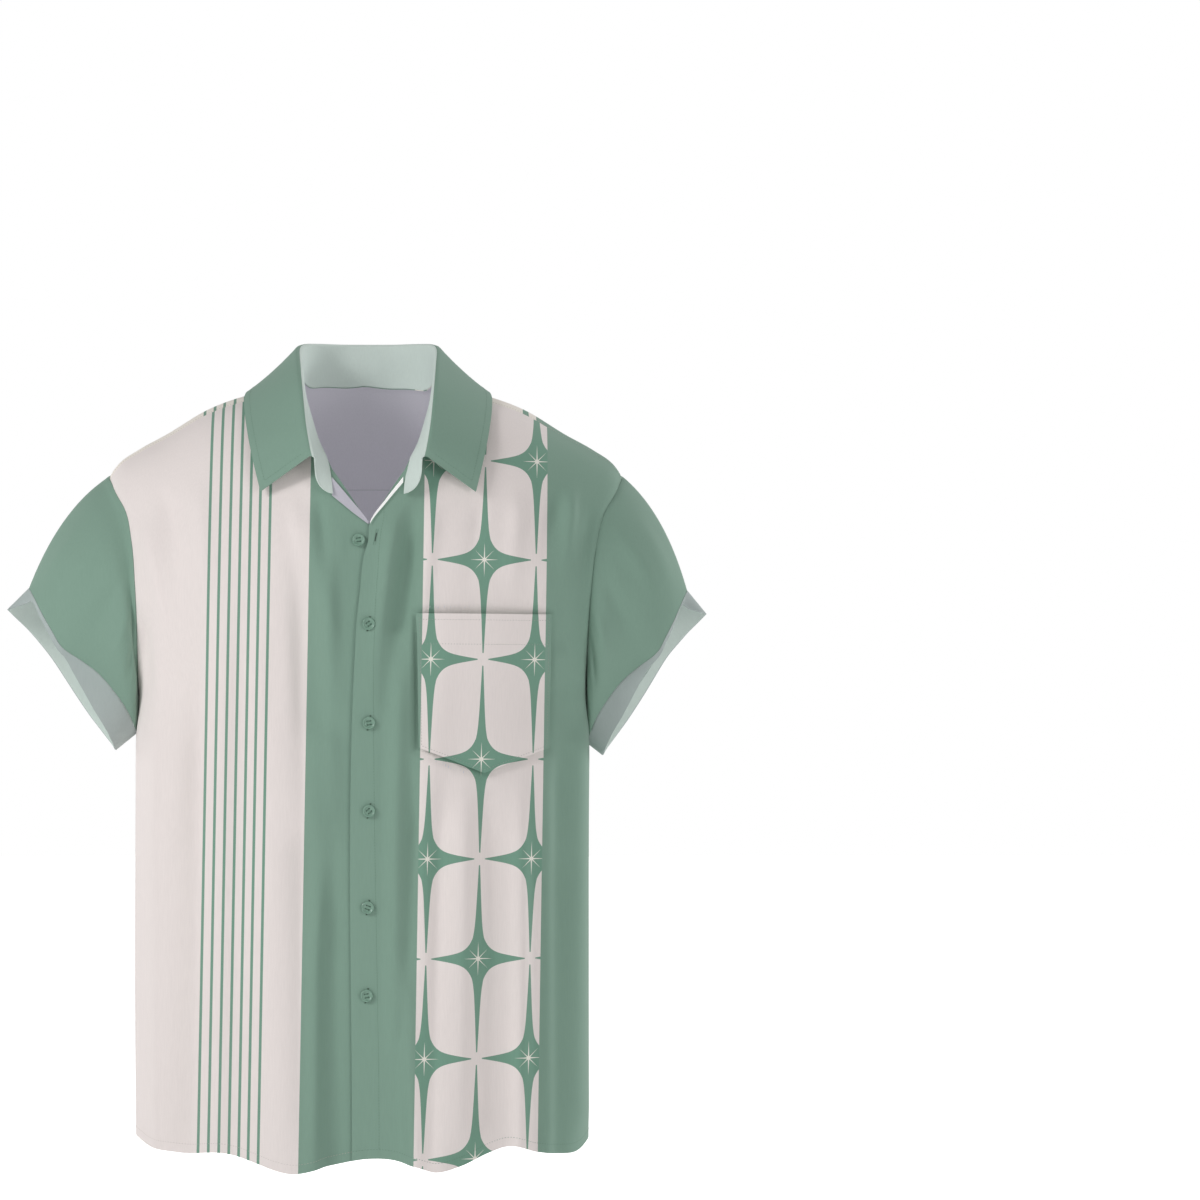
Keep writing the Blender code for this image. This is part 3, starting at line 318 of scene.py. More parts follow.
# Collar sections from the middle of the back to a front end
COLLAR = table("fold_out fold_y fold_z edge_out edge_y edge_z", [
    (0, 76, 58.5, 0, 88, 15), (27, 73, 58.5, 32, 85, 16), (50, 58, 58.5, 62, 70, 19),
    (64, 33, 56.5, 90, 45, 17), (68.7, 0, 50, 115, 10, 10), (67.5, -50, 31, 122.3, -24, 4),
    (65.3, -88, 7, 122.5, -57, -13), (61.8, -115, -27, 118, -92, -43),
    (58, -127, -50, 112, -110, -71), (55.3, -130, -61.5, 106, -118.5, -95.5)])
STAND_END = (35.0 * MM, -128.0 * MM, -98.0 * MM)
STAND_END_START = 0.86
STAND_FOOT = 1.6 * MM
STAND_ROUNDING = 8 * MM
STAND_SPREAD = (0.87, -0.5)
SPREAD_LEAST = 0.2 * MM
STAND_BULGE = 0.8
STAND_TUCK_END = 0.12
COLLAR_ROLL = 4.6 * MM
OPEN_ROLL = 3.5 * MM
ROLL_STEPS = 10
STAND_STEPS = 12
LEAF_STEPS = 26

# Turned-back strips beside the open neck: how far they hang at the collar end
TURNBACK_DROP = {"right": 18 * MM, "left": 5.5 * MM}
TURNBACK_LEAST = 2 * MM
TURNBACK_BEND = 0.8
TURNBACK_ROWS = 30
TURNBACK_COLUMNS = 10
TURNBACK_EASE = 0.3 * MM

# Breast pocket on the wearer's left
POCKET_TOP = -216 * MM
POCKET_LEFT = 49.5 * MM
POCKET_RIGHT = 182 * MM
POCKET_TAPER = 2.5 * MM
POCKET_CORNER = -348 * MM
POCKET_POINT = -372.8 * MM
POCKET_COLUMNS = 64
POCKET_ROWS = 72
POCKET_CLOTH = 1.0 * MM
POCKET_FULLNESS = 4.2 * MM
POCKET_EASE = 0.45 * MM
POCKET_PRESS = 3.2 * MM
POCKET_PRESS_WIDTH = 7 * MM

# Buttons: height and place across; the top one is undone, on the under front
BUTTONS = table("x z", [
    (-7.4, -143.5), (2.5, -226.2), (2.9, -323.6), (2.9, -410.1), (1.9, -505), (0.9, -591.6)])
BUTTON_RADIUS = 6.3 * MM
BUTTON_THICK = 2.4 * MM
BUTTON_HOLE_PITCH = 1.7 * MM
BUTTON_HOLE_RADIUS = 0.75 * MM
BUTTON_STAND_OFF = 0.6 * MM
BUTTON_SIDES = 40
BUTTON_SHARP = math.radians(40)
HOLE_SIDES = 14
HOLE_DEPTH = 3.0
# Half section of a button from the middle of its back round the rim to the middle of its dish,
# as shares of the radius and the thickness
BUTTON_PROFILE = [
    (0.0, 0.0), (0.72, 0.0), (0.93, 0.2), (1.0, 0.5), (0.985, 0.78), (0.93, 0.95),
    (0.86, 1.0), (0.78, 0.94), (0.71, 0.74), (0.64, 0.63), (0.3, 0.58), (0.0, 0.58)]
# The thread bars through a button's holes; their ends are at a share of its thickness
BAR_FLOOR = 0.5
BAR_ARCH = 0.75 * MM
BAR_RADIUS = 0.2 * MM
BAR_APART = 0.22 * MM
BAR_STEPS = 6
BAR_SIDES = 6
TOP_BUTTONHOLE = (9.4 * MM, -141.0 * MM)
TOP_SLIT_SHARE = 0.55
BUTTONHOLE_LENGTH = 15 * MM
BUTTONHOLE_HALF = 1.5 * MM
BUTTONHOLE_LEAN = 0.2
BUTTONHOLE_STITCHES = 22
BUTTONHOLE_INNER = 0.2
SLIT_HALF = 0.35
SLIT_LIFT = 0.05 * MM
BUTTON_TURNS = (10, 38, 8, 42, -20, 12)

# Sewing
STITCH_PITCH = 2.9 * MM
STITCH_LENGTH = 2.2 * MM
STITCH_START = 0.12
STITCH_SPOTS = (0.0, 0.3, 0.7, 1.0)
THREAD = 0.34 * MM
THREAD_RISE = 0.2 * THREAD
COLLAR_STITCH = 7 * MM
COLLAR_TRIM = 10 * MM
YOKE_STITCH = 2 * MM
HEM_STITCH = 9 * MM
POCKET_STITCH = 3 * MM
POCKET_HEM = 30 * MM


def smooth(tab, key, value, at):
    """A smooth curve through a table's rows, level past its ends."""
    order = np.argsort(tab[key])
    xs = tab[key][order]
    ys = tab[value][order]
    slopes = np.gradient(ys, xs)
    at = np.clip(np.asarray(at, dtype=float), xs[0], xs[-1])
    i = np.clip(np.searchsorted(xs, at) - 1, 0, len(xs) - 2)
    step = xs[i + 1] - xs[i]
    t = (at - xs[i]) / step
    return ((1 + 2 * t) * (1 - t) ** 2 * ys[i] + t * (1 - t) ** 2 * step * slopes[i]
            + t * t * (3 - 2 * t) * ys[i + 1] + t * t * (t - 1) * step * slopes[i + 1])


def ramp(value, start, end):
    """0 before start, 1 after end, and a soft step between them."""
    t = np.clip((value - start) / (end - start), 0.0, 1.0)
    return t * t * (3 - 2 * t)


def unit(vectors):
    """Vectors of length 1 that point the same way."""
    return vectors / np.linalg.norm(vectors, axis=-1, keepdims=True)


def without(vectors, way):
    """Vectors less their part along some unit vectors."""
    return vectors - way * np.sum(vectors * way, axis=-1, keepdims=True)


def turned_out(normal, out):
    """Normals, each turned to the side of a vector that points out."""
    return normal * np.sign(np.sum(normal * out, axis=-1, keepdims=True))


def evenly(values, at):
    """A smooth curve through values that are spread evenly from 0 to 1."""
    return smooth({"at": np.linspace(0.0, 1.0, len(values)), "value": values}, "at", "value", at)


def side_name(side):
    """The wearer's side that a sign stands for."""
    return "right" if side < 0 else "left"


def fall_length(lam):
    """Length of the bend over the ridge, by the share of the way out along it."""
    return FALL_AT_NECK - FALL_NARROWING * np.abs(lam)


def share_out(theta):
    """Share of the half width at an angle round the body."""
    return np.sign(np.sin(theta)) * np.abs(np.sin(theta)) ** (2 / SECTION_POWER)


def angle_at(lam):
    """Angle round the body at a share of the half width."""
    return np.sign(lam) * np.arcsin(np.abs(lam) ** (SECTION_POWER / 2))


def across_at(lam, z):
    """Place across at a share of the half width and a height."""
    return smooth(TORSO, "height", "half_width", z) * lam + smooth(TORSO, "height", "middle", z)


def fold_relief(folds, x, z):
    """How far the folds push the cloth out at a place."""
    total = np.zeros_like(x)
    for i in range(len(folds["width"])):
        share = (folds["z_top"][i] - z) / (folds["z_top"][i] - folds["z_end"][i])
        inside = ramp(share, *FOLD_START) * ramp(1 + FOLD_END - share, 0.0, FOLD_END)
        share = np.clip(share, 0.0, 1.0)
        middle = folds["x_top"][i] + (folds["x_end"][i] - folds["x_top"][i]) * share
        height = folds["height_top"][i] + (folds["height_end"][i] - folds["height_top"][i]) * share
        total += inside * height * np.exp(-((x - middle) / folds["width"][i]) ** 2)
    return total


def torso(theta, q):
    """Points of the torso surface, with its largest folds."""
    lam = share_out(theta)
    round_off = np.abs(np.cos(theta)) ** (2 / SECTION_POWER)
    length = fall_length(lam)
    turn = np.minimum(np.abs(q), 1.0) * math.pi / 2
    drop = length * (1 - np.cos(turn)) + np.maximum(np.abs(q) - 1.0, 0.0) * length * math.pi / 2
    z = smooth(RIDGE, "out", "height", np.abs(lam) * SHOULDER_HALF) - drop
    x = across_at(lam, z)
    front = -smooth(TORSO, "height", "front", z) - fold_relief(FRONT_FOLDS, x, z) * np.sin(turn)
    back = smooth(TORSO, "height", "back", z) + fold_relief(BACK_FOLDS, x, z) * np.sin(turn)
    y = np.where(q < 0, front, back) * round_off * np.sin(turn)
    return np.stack([x, y, z], axis=-1)


def torso_normal(theta, q):
    """Unit vectors that point out of the torso surface."""
    low = np.clip(theta - NORMAL_STEP, -math.pi / 2, math.pi / 2)
    high = np.clip(theta + NORMAL_STEP, -math.pi / 2, math.pi / 2)
    across = torso(high, q) - torso(low, q)
    down = torso(theta, q + NORMAL_STEP) - torso(theta, q - NORMAL_STEP)
    outward = torso(theta, q) - np.array(TORSO_CENTRE)
    return turned_out(unit(np.cross(across, down)), outward)


def place(x, z, side):
    """The angle and fall of the cloth at x and z, on the front (-1) or back (+1)."""
    x = np.asarray(x, dtype=float)
    z = np.asarray(z, dtype=float)
    lam = (x - smooth(TORSO, "height", "middle", z)) / smooth(TORSO, "height", "half_width", z)
    lam = np.clip(lam, -1.0, 1.0)
    length = fall_length(lam)
    drop = np.maximum(smooth(RIDGE, "out", "height", np.abs(lam) * SHOULDER_HALF) - z, 0.0)
    bent = np.arccos(np.clip(1 - drop / length, 0.0, 1.0)) * 2 / math.pi
    hung = 1 + (drop - length) / (length * math.pi / 2)
    return np.stack([angle_at(lam), side * np.where(drop < length, bent, hung)], axis=-1)


def neck_place(side):
    """Neck seam of one side from the middle of the back to the front end."""
    lam = (side * NECK_SEAM["out"] * MM + NECK_CENTRE_X) / SHOULDER_HALF
    return np.stack([angle_at(lam), NECK_SEAM["fall"] / RIGHT_ANGLE], axis=-1)


def along(points, shares):
    """Points at given shares of the way along a run of points."""
    return np.stack([evenly(column, shares) for column in points.T], axis=-1)


def blend(start, end, count):
    """Even steps from start to end, each a place or a row of points."""
    t = np.linspace(0.0, 1.0, count + 1).reshape(-1, *[1] * start.ndim)
    return start + (end - start) * t


def armhole(side, tab, from_height, to_height, rows, face):
    """Armhole places from one height to another."""
    share = np.linspace(0.0, 1.0, rows + 1) ** ARMHOLE_CROWDING
    heights = from_height + (to_height - from_height) * share
    out = smooth(tab, "height", "out", heights)
    x = side * out + smooth(TORSO, "height", "middle", heights)
    return place(x, heights, face)


def neck_shares():
    """Shares of the neck seam, back middle to front end, at which the cloth has points."""
    back = np.linspace(0.0, NECK_POINT_SHARE, BACK_NECK_COLUMNS // 2 + 1)
    front = np.linspace(NECK_POINT_SHARE, 1.0, NECK_COLUMNS + 1)
    return back, front


def seams(side):
    """Every seam of one side, as runs of places on the torso."""
    neck = neck_place(side)
    back_shares, front_shares = neck_shares()
    neck_back = along(neck, back_shares)
    neck_front = along(neck, front_shares)
    tip = np.array([angle_at(side * SHOULDER_OUT / SHOULDER_HALF),
                    SHOULDER_SEAM_FALL_OUTER / RIGHT_ANGLE])
    shoulder = blend(neck_back[-1], tip, SHOULDER_COLUMNS)
    tip_height = torso(tip[0], tip[1])[2]
    front_arm = armhole(side, ARMHOLE_FRONT, UNDERARM_HEIGHT, tip_height, FRONT_ARM_ROWS, -1)
    front_arm[-1] = tip
    back_arm = armhole(side, ARMHOLE_BACK, UNDERARM_HEIGHT, YOKE_SEAM_END, BACK_ARM_ROWS, 1)
    yoke_arm = blend(tip, back_arm[-1], YOKE_ROWS)
    return {"neck_back": neck_back, "neck_front": neck_front, "shoulder": shoulder,
            "front_arm": front_arm, "back_arm": back_arm, "yoke_arm": yoke_arm}


def patch(bottom, top, left, right):
    """A patch of places between four runs of places that share their corners."""
    u = np.linspace(0.0, 1.0, len(bottom))[None, :, None]
    v = np.linspace(0.0, 1.0, len(left))[:, None, None]
    straight = (1 - v) * bottom[None] + v * top[None]
    left_bend = left[:, None] - (1 - v) * left[0] - v * left[-1]
    right_bend = right[:, None] - (1 - v) * right[0] - v * right[-1]
    return straight + (1 - u) ** SIDE_REACH * left_bend + u ** SIDE_REACH * right_bend


def side_rows(side, hem_height, face):
    """Side seam from the hem up to the underarm."""
    heights = np.linspace(hem_height, UNDERARM_HEIGHT, SIDE_ROWS + 1)
    rows = place(across_at(side, heights), heights, face)
    rows[:, 0] = side * math.pi / 2
    return rows


def hem_row(tab, x_from, x_to, columns, face):
    """Hem places between two places across, evenly spaced round the body."""
    ends = place([x_from, x_to], [HEM_LEVEL, HEM_LEVEL], face)
    theta = np.linspace(ends[0, 0], ends[1, 0], columns + 1)
    x = across_at(share_out(theta), HEM_LEVEL)
    row = place(x, smooth(tab, "x", "height", x), face)
    row[:, 0] = theta
    return row


def inset(points, edges):
    """Draw the named edges of a grid back by half a seam gap."""
    points = points.copy()
    for edge in edges:
        border, inner, axis = GRID_EDGES[edge]
        lines = points.swapaxes(0, axis)
        lines[border] += unit(lines[inner] - lines[border]) * SEAM_GAP / 2
    return points


def sunk(points, normal, edges):
    """Press the named edges of a grid in, so that a seam shows as a soft groove."""
    points = points.copy()
    for edge in edges:
        border, inner, axis = GRID_EDGES[edge]
        lines = points.swapaxes(0, axis)
        out = normal.swapaxes(0, axis)
        lines[border] -= out[border] * SEAM_DEPTH
        lines[inner] -= out[inner] * SEAM_DEPTH * SEAM_SHARE
    return points


def grid_normals(points, closed=False):
    """Normals of a grid of points, by central differences."""
    if closed:
        across = np.roll(points, -1, 1) - np.roll(points, 1, 1)
    else:
        across = np.gradient(points, axis=1)
    return unit(np.cross(across, np.gradient(points, axis=0)))


class Maths:
    """Chains of Math nodes in one node tree."""

    def __init__(self, tree):
        self.tree = tree

    def __call__(self, operation, *values):
        """The output of a new node, fed with constants or other outputs."""
        node = self.tree.nodes.new("ShaderNodeMath")
        node.operation = operation
        for socket, value in zip(node.inputs, values):
            if isinstance(value, (int, float)):
                socket.default_value = value
            else:
                self.tree.links.new(value, socket)
        return node.outputs[0]

    def between(self, value, low, high):
        """1 between two limits and 0 outside them."""
        return self("MULTIPLY", self("GREATER_THAN", value, low), self("LESS_THAN", value, high))

    def fold(self, value, middle, period):
        """Distance to the nearest of a row of middles."""
        moved = self("ADD", self("SUBTRACT", value, middle), period / 2)
        return self("ABSOLUTE", self("SUBTRACT", self("FLOORED_MODULO", moved, period), period / 2))

    def taper(self, value, reach, tip, slope, swell, fade):
        """Half width of a star's arm at a distance from its middle."""
        straight = self("ADD", self("MULTIPLY", self("SUBTRACT", reach, value), slope), tip)
        bulge = self("MULTIPLY", self("EXPONENT", self("DIVIDE", value, -fade)), swell)
        inside = self("LESS_THAN", value, reach)
        return self("MULTIPLY", self("ADD", straight, bulge), inside)


def mix_colour(tree, factor, first, second):
    """One colour where the factor is 0 and another where it is 1."""
    node = tree.nodes.new("ShaderNodeMix")
    node.data_type = "RGBA"
    if isinstance(factor, (int, float)):
        node.inputs["Factor"].default_value = factor
    else:
        tree.links.new(factor, node.inputs["Factor"])
    for socket, value in ((node.inputs[6], first), (node.inputs[7], second)):
        if isinstance(value, tuple):
            socket.default_value = (*value, 1.0)
        else:
            tree.links.new(value, socket)
    return node.outputs[2]


def srgb(red, green, blue):
    """A linear colour from 0..255 display values."""
    linear = []
    for value in (red, green, blue):
        c = value / 255
        linear.append(c / 12.92 if c <= 0.04045 else ((c + 0.055) / 1.055) ** 2.4)
    return tuple(linear)


GREEN = srgb(133, 163, 147)
PRINT_GREEN = srgb(121, 160, 141)
CREAM = srgb(240, 231, 228)
BACK_CREAM = srgb(247, 240, 231)
STAR_WHITE = srgb(240, 238, 228)
PALE_GREEN = srgb(202, 214, 208)
PALE_INSIDE = srgb(214, 212, 219)
# The turned-up cuffs show the pale wrong side in a darker, greyer copy: painted shade
CUFF_PAINTED_SHADE = srgb(178, 189, 187)
# The turned-back strips are one cloth in two copies: the right one darker and lavender-grey, which
# is painted shade, the left one near white, which is painted light
STRIP_RIGHT_PAINTED_SHADE = srgb(196, 194, 204)
STRIP_LEFT_PAINTED_LIGHT = srgb(244, 244, 242)
GREEN_THREAD = srgb(104, 136, 119)
CREAM_THREAD = srgb(206, 196, 192)
PALE_THREAD = srgb(176, 176, 170)
# The dark sheet in each buttonhole slit: painted shade
SLIT_PAINTED_SHADE = srgb(66, 84, 74)
BUTTON_DARK = srgb(112, 148, 129)
BUTTON_LIGHT = srgb(134, 168, 150)

# Surfaces: a painted glow that stands in for light that comes through the cloth, its slubs and
# weave, the thread and the buttons
PAINTED_THROUGH_GLOW = 0.10
# The left strip's glow is painted light
STRIP_PAINTED_GLOW = 0.2
SLUB_STRETCH = (900.0, 900.0, 60.0)
SLUB_DETAIL = 3.0
SLUB_TONE = 0.10
SLUB_HEIGHT = 0.8
WEAVE_SCALE = 450.0
WEAVE_DISTORTION = 1.5
WEAVE_HEIGHT = 0.08 * MM
RIGHT_SIDE_WEAVE = 0.25
WRONG_SIDE_WEAVE = 0.35
CLOTH_ROUGHNESS = 0.82
CLOTH_SHEEN = 0.12
SHEEN_ROUGHNESS = 0.5
CLOTH_SPECULAR = 0.25
TWIST_SCALE = 2200.0
TWIST_DETAIL = 2.0
TWIST_SHADE = 0.82
THREAD_ROUGHNESS = 0.55
BUTTON_CLOUDS = 300.0
BUTTON_DETAIL = 2.0
BUTTON_ROUGHNESS = 0.38
BUTTON_COAT = 0.25

# The print, front and back, seen straight on: places across at the reference height
LEAN_HEIGHT = -84 * MM
LEAN = 0.0165
LEAN_CHANGE = -0.01
FRONT_PRINT = {
    "strip": (57.5 * MM, 179.5 * MM), "middle": -54.7 * MM, "star_x": 117.7 * MM,
    "star_z": -162.7 * MM, "star_step": 51.3 * MM, "star_rows": 196.5 * MM,
    "stripes": [-153.3, -143.1, -132.9, -123.0, -113.3, -103.9, -94.0],
}
BACK_PRINT = {
    "strip": (49.1 * MM, 169.7 * MM), "middle": -62.1 * MM, "star_x": 109.2 * MM,
    "star_z": -154.6 * MM, "star_step": 49.9 * MM, "star_rows": 194.8 * MM,
    "stripes": [-160.6, -150.6, -141.0, -130.6, -120.6, -110.6, -100.4],
}
STRIPE_WIDTH = 2.7 * MM
# Arms of a star: reach, half width at the tip, slope, swell in the middle and how it fades
STAR_TALL = (92.0 * MM, 0.6 * MM, 0.045, 16 * MM, 9.4 * MM)
STAR_WIDE = (46.0 * MM, 0.5 * MM, 0.17, 36 * MM, 5.5 * MM)
RAY_REACH = (14.0 * MM, 17.0 * MM)
RAY_HALF = 0.75 * MM
DIAGONAL_REACH = 9.5 * MM
BURST_CORE = 2.1 * MM


def star_mask(maths, x, z, design, odd):
    """Green star of one lattice and the cream rays in it."""
    across = design["star_x"] + (design["star_step"] if odd else 0.0)
    up = design["star_z"] + (design["star_rows"] / 2 if odd else 0.0)
    dx = maths.fold(x, across, 2 * design["star_step"])
    dz = maths.fold(z, up, design["star_rows"])
    tall = maths.taper(dz, *STAR_TALL)
    wide = maths.taper(dx, *STAR_WIDE)
    body = maths("MAXIMUM", maths("SUBTRACT", tall, dx), maths("SUBTRACT", wide, dz))
    star = maths("GREATER_THAN", body, 0.0)
    rays = []
    for near, far, reach in ((dx, dz, RAY_REACH[1]), (dz, dx, RAY_REACH[0])):
        width = maths("MULTIPLY", maths("SUBTRACT", 1.0, maths("DIVIDE", far, reach)), RAY_HALF)
        rays.append(maths("SUBTRACT", width, near))
    slant = maths("ABSOLUTE", maths("SUBTRACT", dx, dz))
    reach = maths("SUBTRACT", 1.0, maths("DIVIDE", maths("ADD", dx, dz), 2 * DIAGONAL_REACH))
    rays.append(maths("SUBTRACT", maths("MULTIPLY", reach, RAY_HALF), slant))
    burst = maths("SUBTRACT", BURST_CORE, maths("SQRT", maths(
        "ADD", maths("MULTIPLY", dx, dx), maths("MULTIPLY", dz, dz))))
    for ray in rays:
        burst = maths("MAXIMUM", burst, ray)
    return star, maths("GREATER_THAN", burst, 0.0)


def print_colour(tree, design, cream, leaning):
    """Colour of the printed body cloth: stripes, plain bands and the strip of stars."""
    maths = Maths(tree)
    where = tree.nodes.new("ShaderNodeTexCoord")
    parts = tree.nodes.new("ShaderNodeSeparateXYZ")
    tree.links.new(where.outputs["Object"], parts.inputs[0])
    x, z = parts.outputs["X"], parts.outputs["Z"]
    if leaning:
        lean = maths("ADD", maths("MULTIPLY", x, LEAN_CHANGE), LEAN)
        x = maths("ADD", x, maths("MULTIPLY", maths("SUBTRACT", LEAN_HEIGHT, z), lean))
    strip = maths.between(x, *design["strip"])
    green_middle = maths.between(x, design["middle"], design["strip"][0])
    green_side = maths("GREATER_THAN", x, design["strip"][1])
    plain = maths("MAXIMUM", green_middle, green_side)
    stripes = 0.0
    for middle in design["stripes"]:
        near = maths("ABSOLUTE", maths("SUBTRACT", x, middle * MM))
        stripes = maths("ADD", maths("LESS_THAN", near, STRIPE_WIDTH / 2), stripes)
    star_a, rays_a = star_mask(maths, x, z, design, False)
    star_b, rays_b = star_mask(maths, x, z, design, True)
    star = maths("MULTIPLY", maths("MAXIMUM", star_a, star_b), strip)
    rays = maths("MULTIPLY", maths("MAXIMUM", rays_a, rays_b), star)
    colour = mix_colour(tree, plain, cream, GREEN)
    colour = mix_colour(tree, maths("MAXIMUM", stripes, star), colour, PRINT_GREEN)
    return mix_colour(tree, rays, colour, STAR_WHITE)


def start_material(name):
    """A new material with its node tree, its shader and the object coordinates in it."""
    made = bpy.data.materials.new(name)
    made.use_nodes = True
    tree = made.node_tree
    where = tree.nodes.new("ShaderNodeTexCoord")
    return made, tree, tree.nodes["Principled BSDF"], where.outputs["Object"]


def noise(tree, where, scale, detail):
    """Soft noise from 0 to 1."""
    node = tree.nodes.new("ShaderNodeTexNoise")
    node.inputs["Scale"].default_value = scale
    node.inputs["Detail"].default_value = detail
    tree.links.new(where, node.inputs["Vector"])
    return node.outputs[0]


def cloth_material(name, colour, wrong_side=False, glow=0.0):
    """Woven rayon: a soft bump of crossing threads, faint slubs and a little sheen.

    The colour is a constant, or a function that builds it in the node tree.  The glow is painted
    light: the cloth gives off its own colour, in place of light that comes through from the other
    side."""
    made, tree, shader, where = start_material(name)
    maths = Maths(tree)
    base = colour(tree) if callable(colour) else colour
    stretch = tree.nodes.new("ShaderNodeMapping")
    stretch.inputs["Scale"].default_value = SLUB_STRETCH
    tree.links.new(where, stretch.inputs["Vector"])
    slub = noise(tree, stretch.outputs["Vector"], 1.0, SLUB_DETAIL)
    tone = maths("ADD", maths("MULTIPLY", slub, SLUB_TONE), 1 - SLUB_TONE / 2)
    hue = tree.nodes.new("ShaderNodeVectorMath")
    hue.operation = "SCALE"
    if isinstance(base, tuple):
        hue.inputs[0].default_value = base
    else:
        tree.links.new(base, hue.inputs[0])
    tree.links.new(tone, hue.inputs["Scale"])
    tree.links.new(hue.outputs[0], shader.inputs["Base Color"])
    # Painted glow: the cloth gives off its own colour at the glow strength
    tree.links.new(hue.outputs[0], shader.inputs["Emission Color"])
    shader.inputs["Emission Strength"].default_value = glow
    threads = []
    for axis in ("X", "Z"):
        wave = tree.nodes.new("ShaderNodeTexWave")
        wave.bands_direction = axis
        wave.inputs["Scale"].default_value = WEAVE_SCALE
        wave.inputs["Distortion"].default_value = WEAVE_DISTORTION
        tree.links.new(where, wave.inputs["Vector"])
        threads.append(wave.outputs["Fac"])
    weave = maths("MAXIMUM", *threads)
    height = maths("ADD", weave, maths("MULTIPLY", slub, SLUB_HEIGHT))
    bump = tree.nodes.new("ShaderNodeBump")
    bump.inputs["Strength"].default_value = WRONG_SIDE_WEAVE if wrong_side else RIGHT_SIDE_WEAVE
    bump.inputs["Distance"].default_value = WEAVE_HEIGHT
    tree.links.new(height, bump.inputs["Height"])
    tree.links.new(bump.outputs[0], shader.inputs["Normal"])
    shader.inputs["Roughness"].default_value = CLOTH_ROUGHNESS
    shader.inputs["Sheen Weight"].default_value = CLOTH_SHEEN
    shader.inputs["Sheen Roughness"].default_value = SHEEN_ROUGHNESS
    shader.inputs["Specular IOR Level"].default_value = CLOTH_SPECULAR
    return made


def thread_material(name, colour):
    """Sewing thread: slightly shiny, with fine twist."""
    made, tree, shader, where = start_material(name)
    shade = tuple(c * TWIST_SHADE for c in colour)
    twist = noise(tree, where, TWIST_SCALE, TWIST_DETAIL)
    tree.links.new(mix_colour(tree, twist, shade, colour), shader.inputs["Base Color"])
    shader.inputs["Roughness"].default_value = THREAD_ROUGHNESS
    return made


def button_material():
    """Moulded plastic, dyed to the cloth, with faint clouding."""
    made, tree, shader, where = start_material("button")
    clouds = noise(tree, where, BUTTON_CLOUDS, BUTTON_DETAIL)
    tree.links.new(mix_colour(tree, clouds, BUTTON_DARK, BUTTON_LIGHT), shader.inputs["Base Color"])
    shader.inputs["Roughness"].default_value = BUTTON_ROUGHNESS
    shader.inputs["Coat Weight"].default_value = BUTTON_COAT
    return made


def grid_quads(rows, columns, closed, start, flip):
    """Faces of a grid of points that starts at an index."""
    last = columns if closed else columns - 1
    i, j = np.meshgrid(np.arange(rows - 1), np.arange(last), indexing="ij")
    k = (j + 1) % columns
    faces = np.stack([i * columns + j, i * columns + k, (i + 1) * columns + k,
                      (i + 1) * columns + j], axis=-1).reshape(-1, 4) + start
    return faces[:, ::-1] if flip else faces


def add_shell(name, middle, normal, thickness, finish, inside, closed=False):
    """A closed thin shell: an outer and an inner sheet and the edge between them."""
    rows, columns = middle.shape[:2]
    count = rows * columns
    half = thickness / 2
    points = np.concatenate([(middle + normal * half).reshape(-1, 3),
                             (middle - normal * half).reshape(-1, 3)])
    across = middle[0, 1] - middle[0, 0]
    upward = middle[1, 0] - middle[0, 0]
    flip = bool(np.dot(np.cross(across, upward), normal[0, 0]) < 0)
    faces = [grid_quads(rows, columns, closed, 0, flip),
             grid_quads(rows, columns, closed, count, not flip)]
    rims = []
    for j in range(columns if closed else columns - 1):
        k = (j + 1) % columns
        rims.append((k, j, j + count, k + count))
        low = (rows - 1) * columns
        rims.append((low + j, low + k, low + k + count, low + j + count))
    if not closed:
        for i in range(rows - 1):
            a, b = i * columns, (i + 1) * columns
            rims.append((a, b, b + count, a + count))
            a, b = a + columns - 1, b + columns - 1
            rims.append((b, a, a + count, b + count))
    rims = np.array(rims)
    faces.append(rims[:, ::-1] if flip else rims)
    outer_faces = len(faces[0])
    mesh = bpy.data.meshes.new(name)
    mesh.from_pydata(points.tolist(), [], np.concatenate(faces).tolist())
    slots = np.zeros(len(mesh.polygons), dtype=np.int32)
    slots[outer_faces:2 * outer_faces] = 1
    mesh.materials.append(finish)
    mesh.materials.append(inside)
    mesh.polygons.foreach_set("material_index", slots)
    mesh.validate()
    mesh.shade_smooth()
    mesh.set_sharp_from_angle(angle=SHELL_SHARP)
    add_piece(name, mesh, [name])


def add_piece(name, mesh, nodes=()):
    """A piece that rides on the root body, in place of the CAD nodes it covers."""
    piece = bpy.data.objects.new(name + "_look", mesh)
    bpy.context.scene.collection.objects.link(piece)
    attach(piece, "root")
    if nodes:
        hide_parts(*nodes)


def front_offset(side, x, z):
    """How far a front stands off the torso surface, so that the over front clears the under."""
    edge = smooth(EDGE_OVER, "height", "x", z)
    if side > 0:
        return PLACKET_LIFT * ramp(edge + 2 * PLACKET_FADE - x, 0.0, PLACKET_FADE)
    return -PLACKET_LIFT * ramp(x, edge - PLACKET_FADE, edge - LAP_MARGIN)


def front_relief(side, x, z):
    """Fine folds of a front, fading towards its seams, and the step of the placket."""
    relief = fold_relief(FRONT_CREASES, x, z) * ramp(z, *NECK_QUIET) * CREASE_STRENGTH
    edge = smooth(EDGE_OVER, "height", "x", z)
    relief *= ramp(np.abs(x - edge - LAP_MARGIN), *LAP_QUIET) * (1 - LAP_FOLDS) + LAP_FOLDS
    if side > 0:
        step = edge + PLACKET_WIDTH + PLACKET_SLOPE / 2
        relief += PLACKET_STEP * ramp(step - x, 0.0, PLACKET_SLOPE)
    return relief


def pocket_bottom(share):
    """Height of the pocket's pointed lower edge at a share of the way across."""
    return POCKET_CORNER - (POCKET_CORNER - POCKET_POINT) * (1 - np.abs(2 * share - 1))


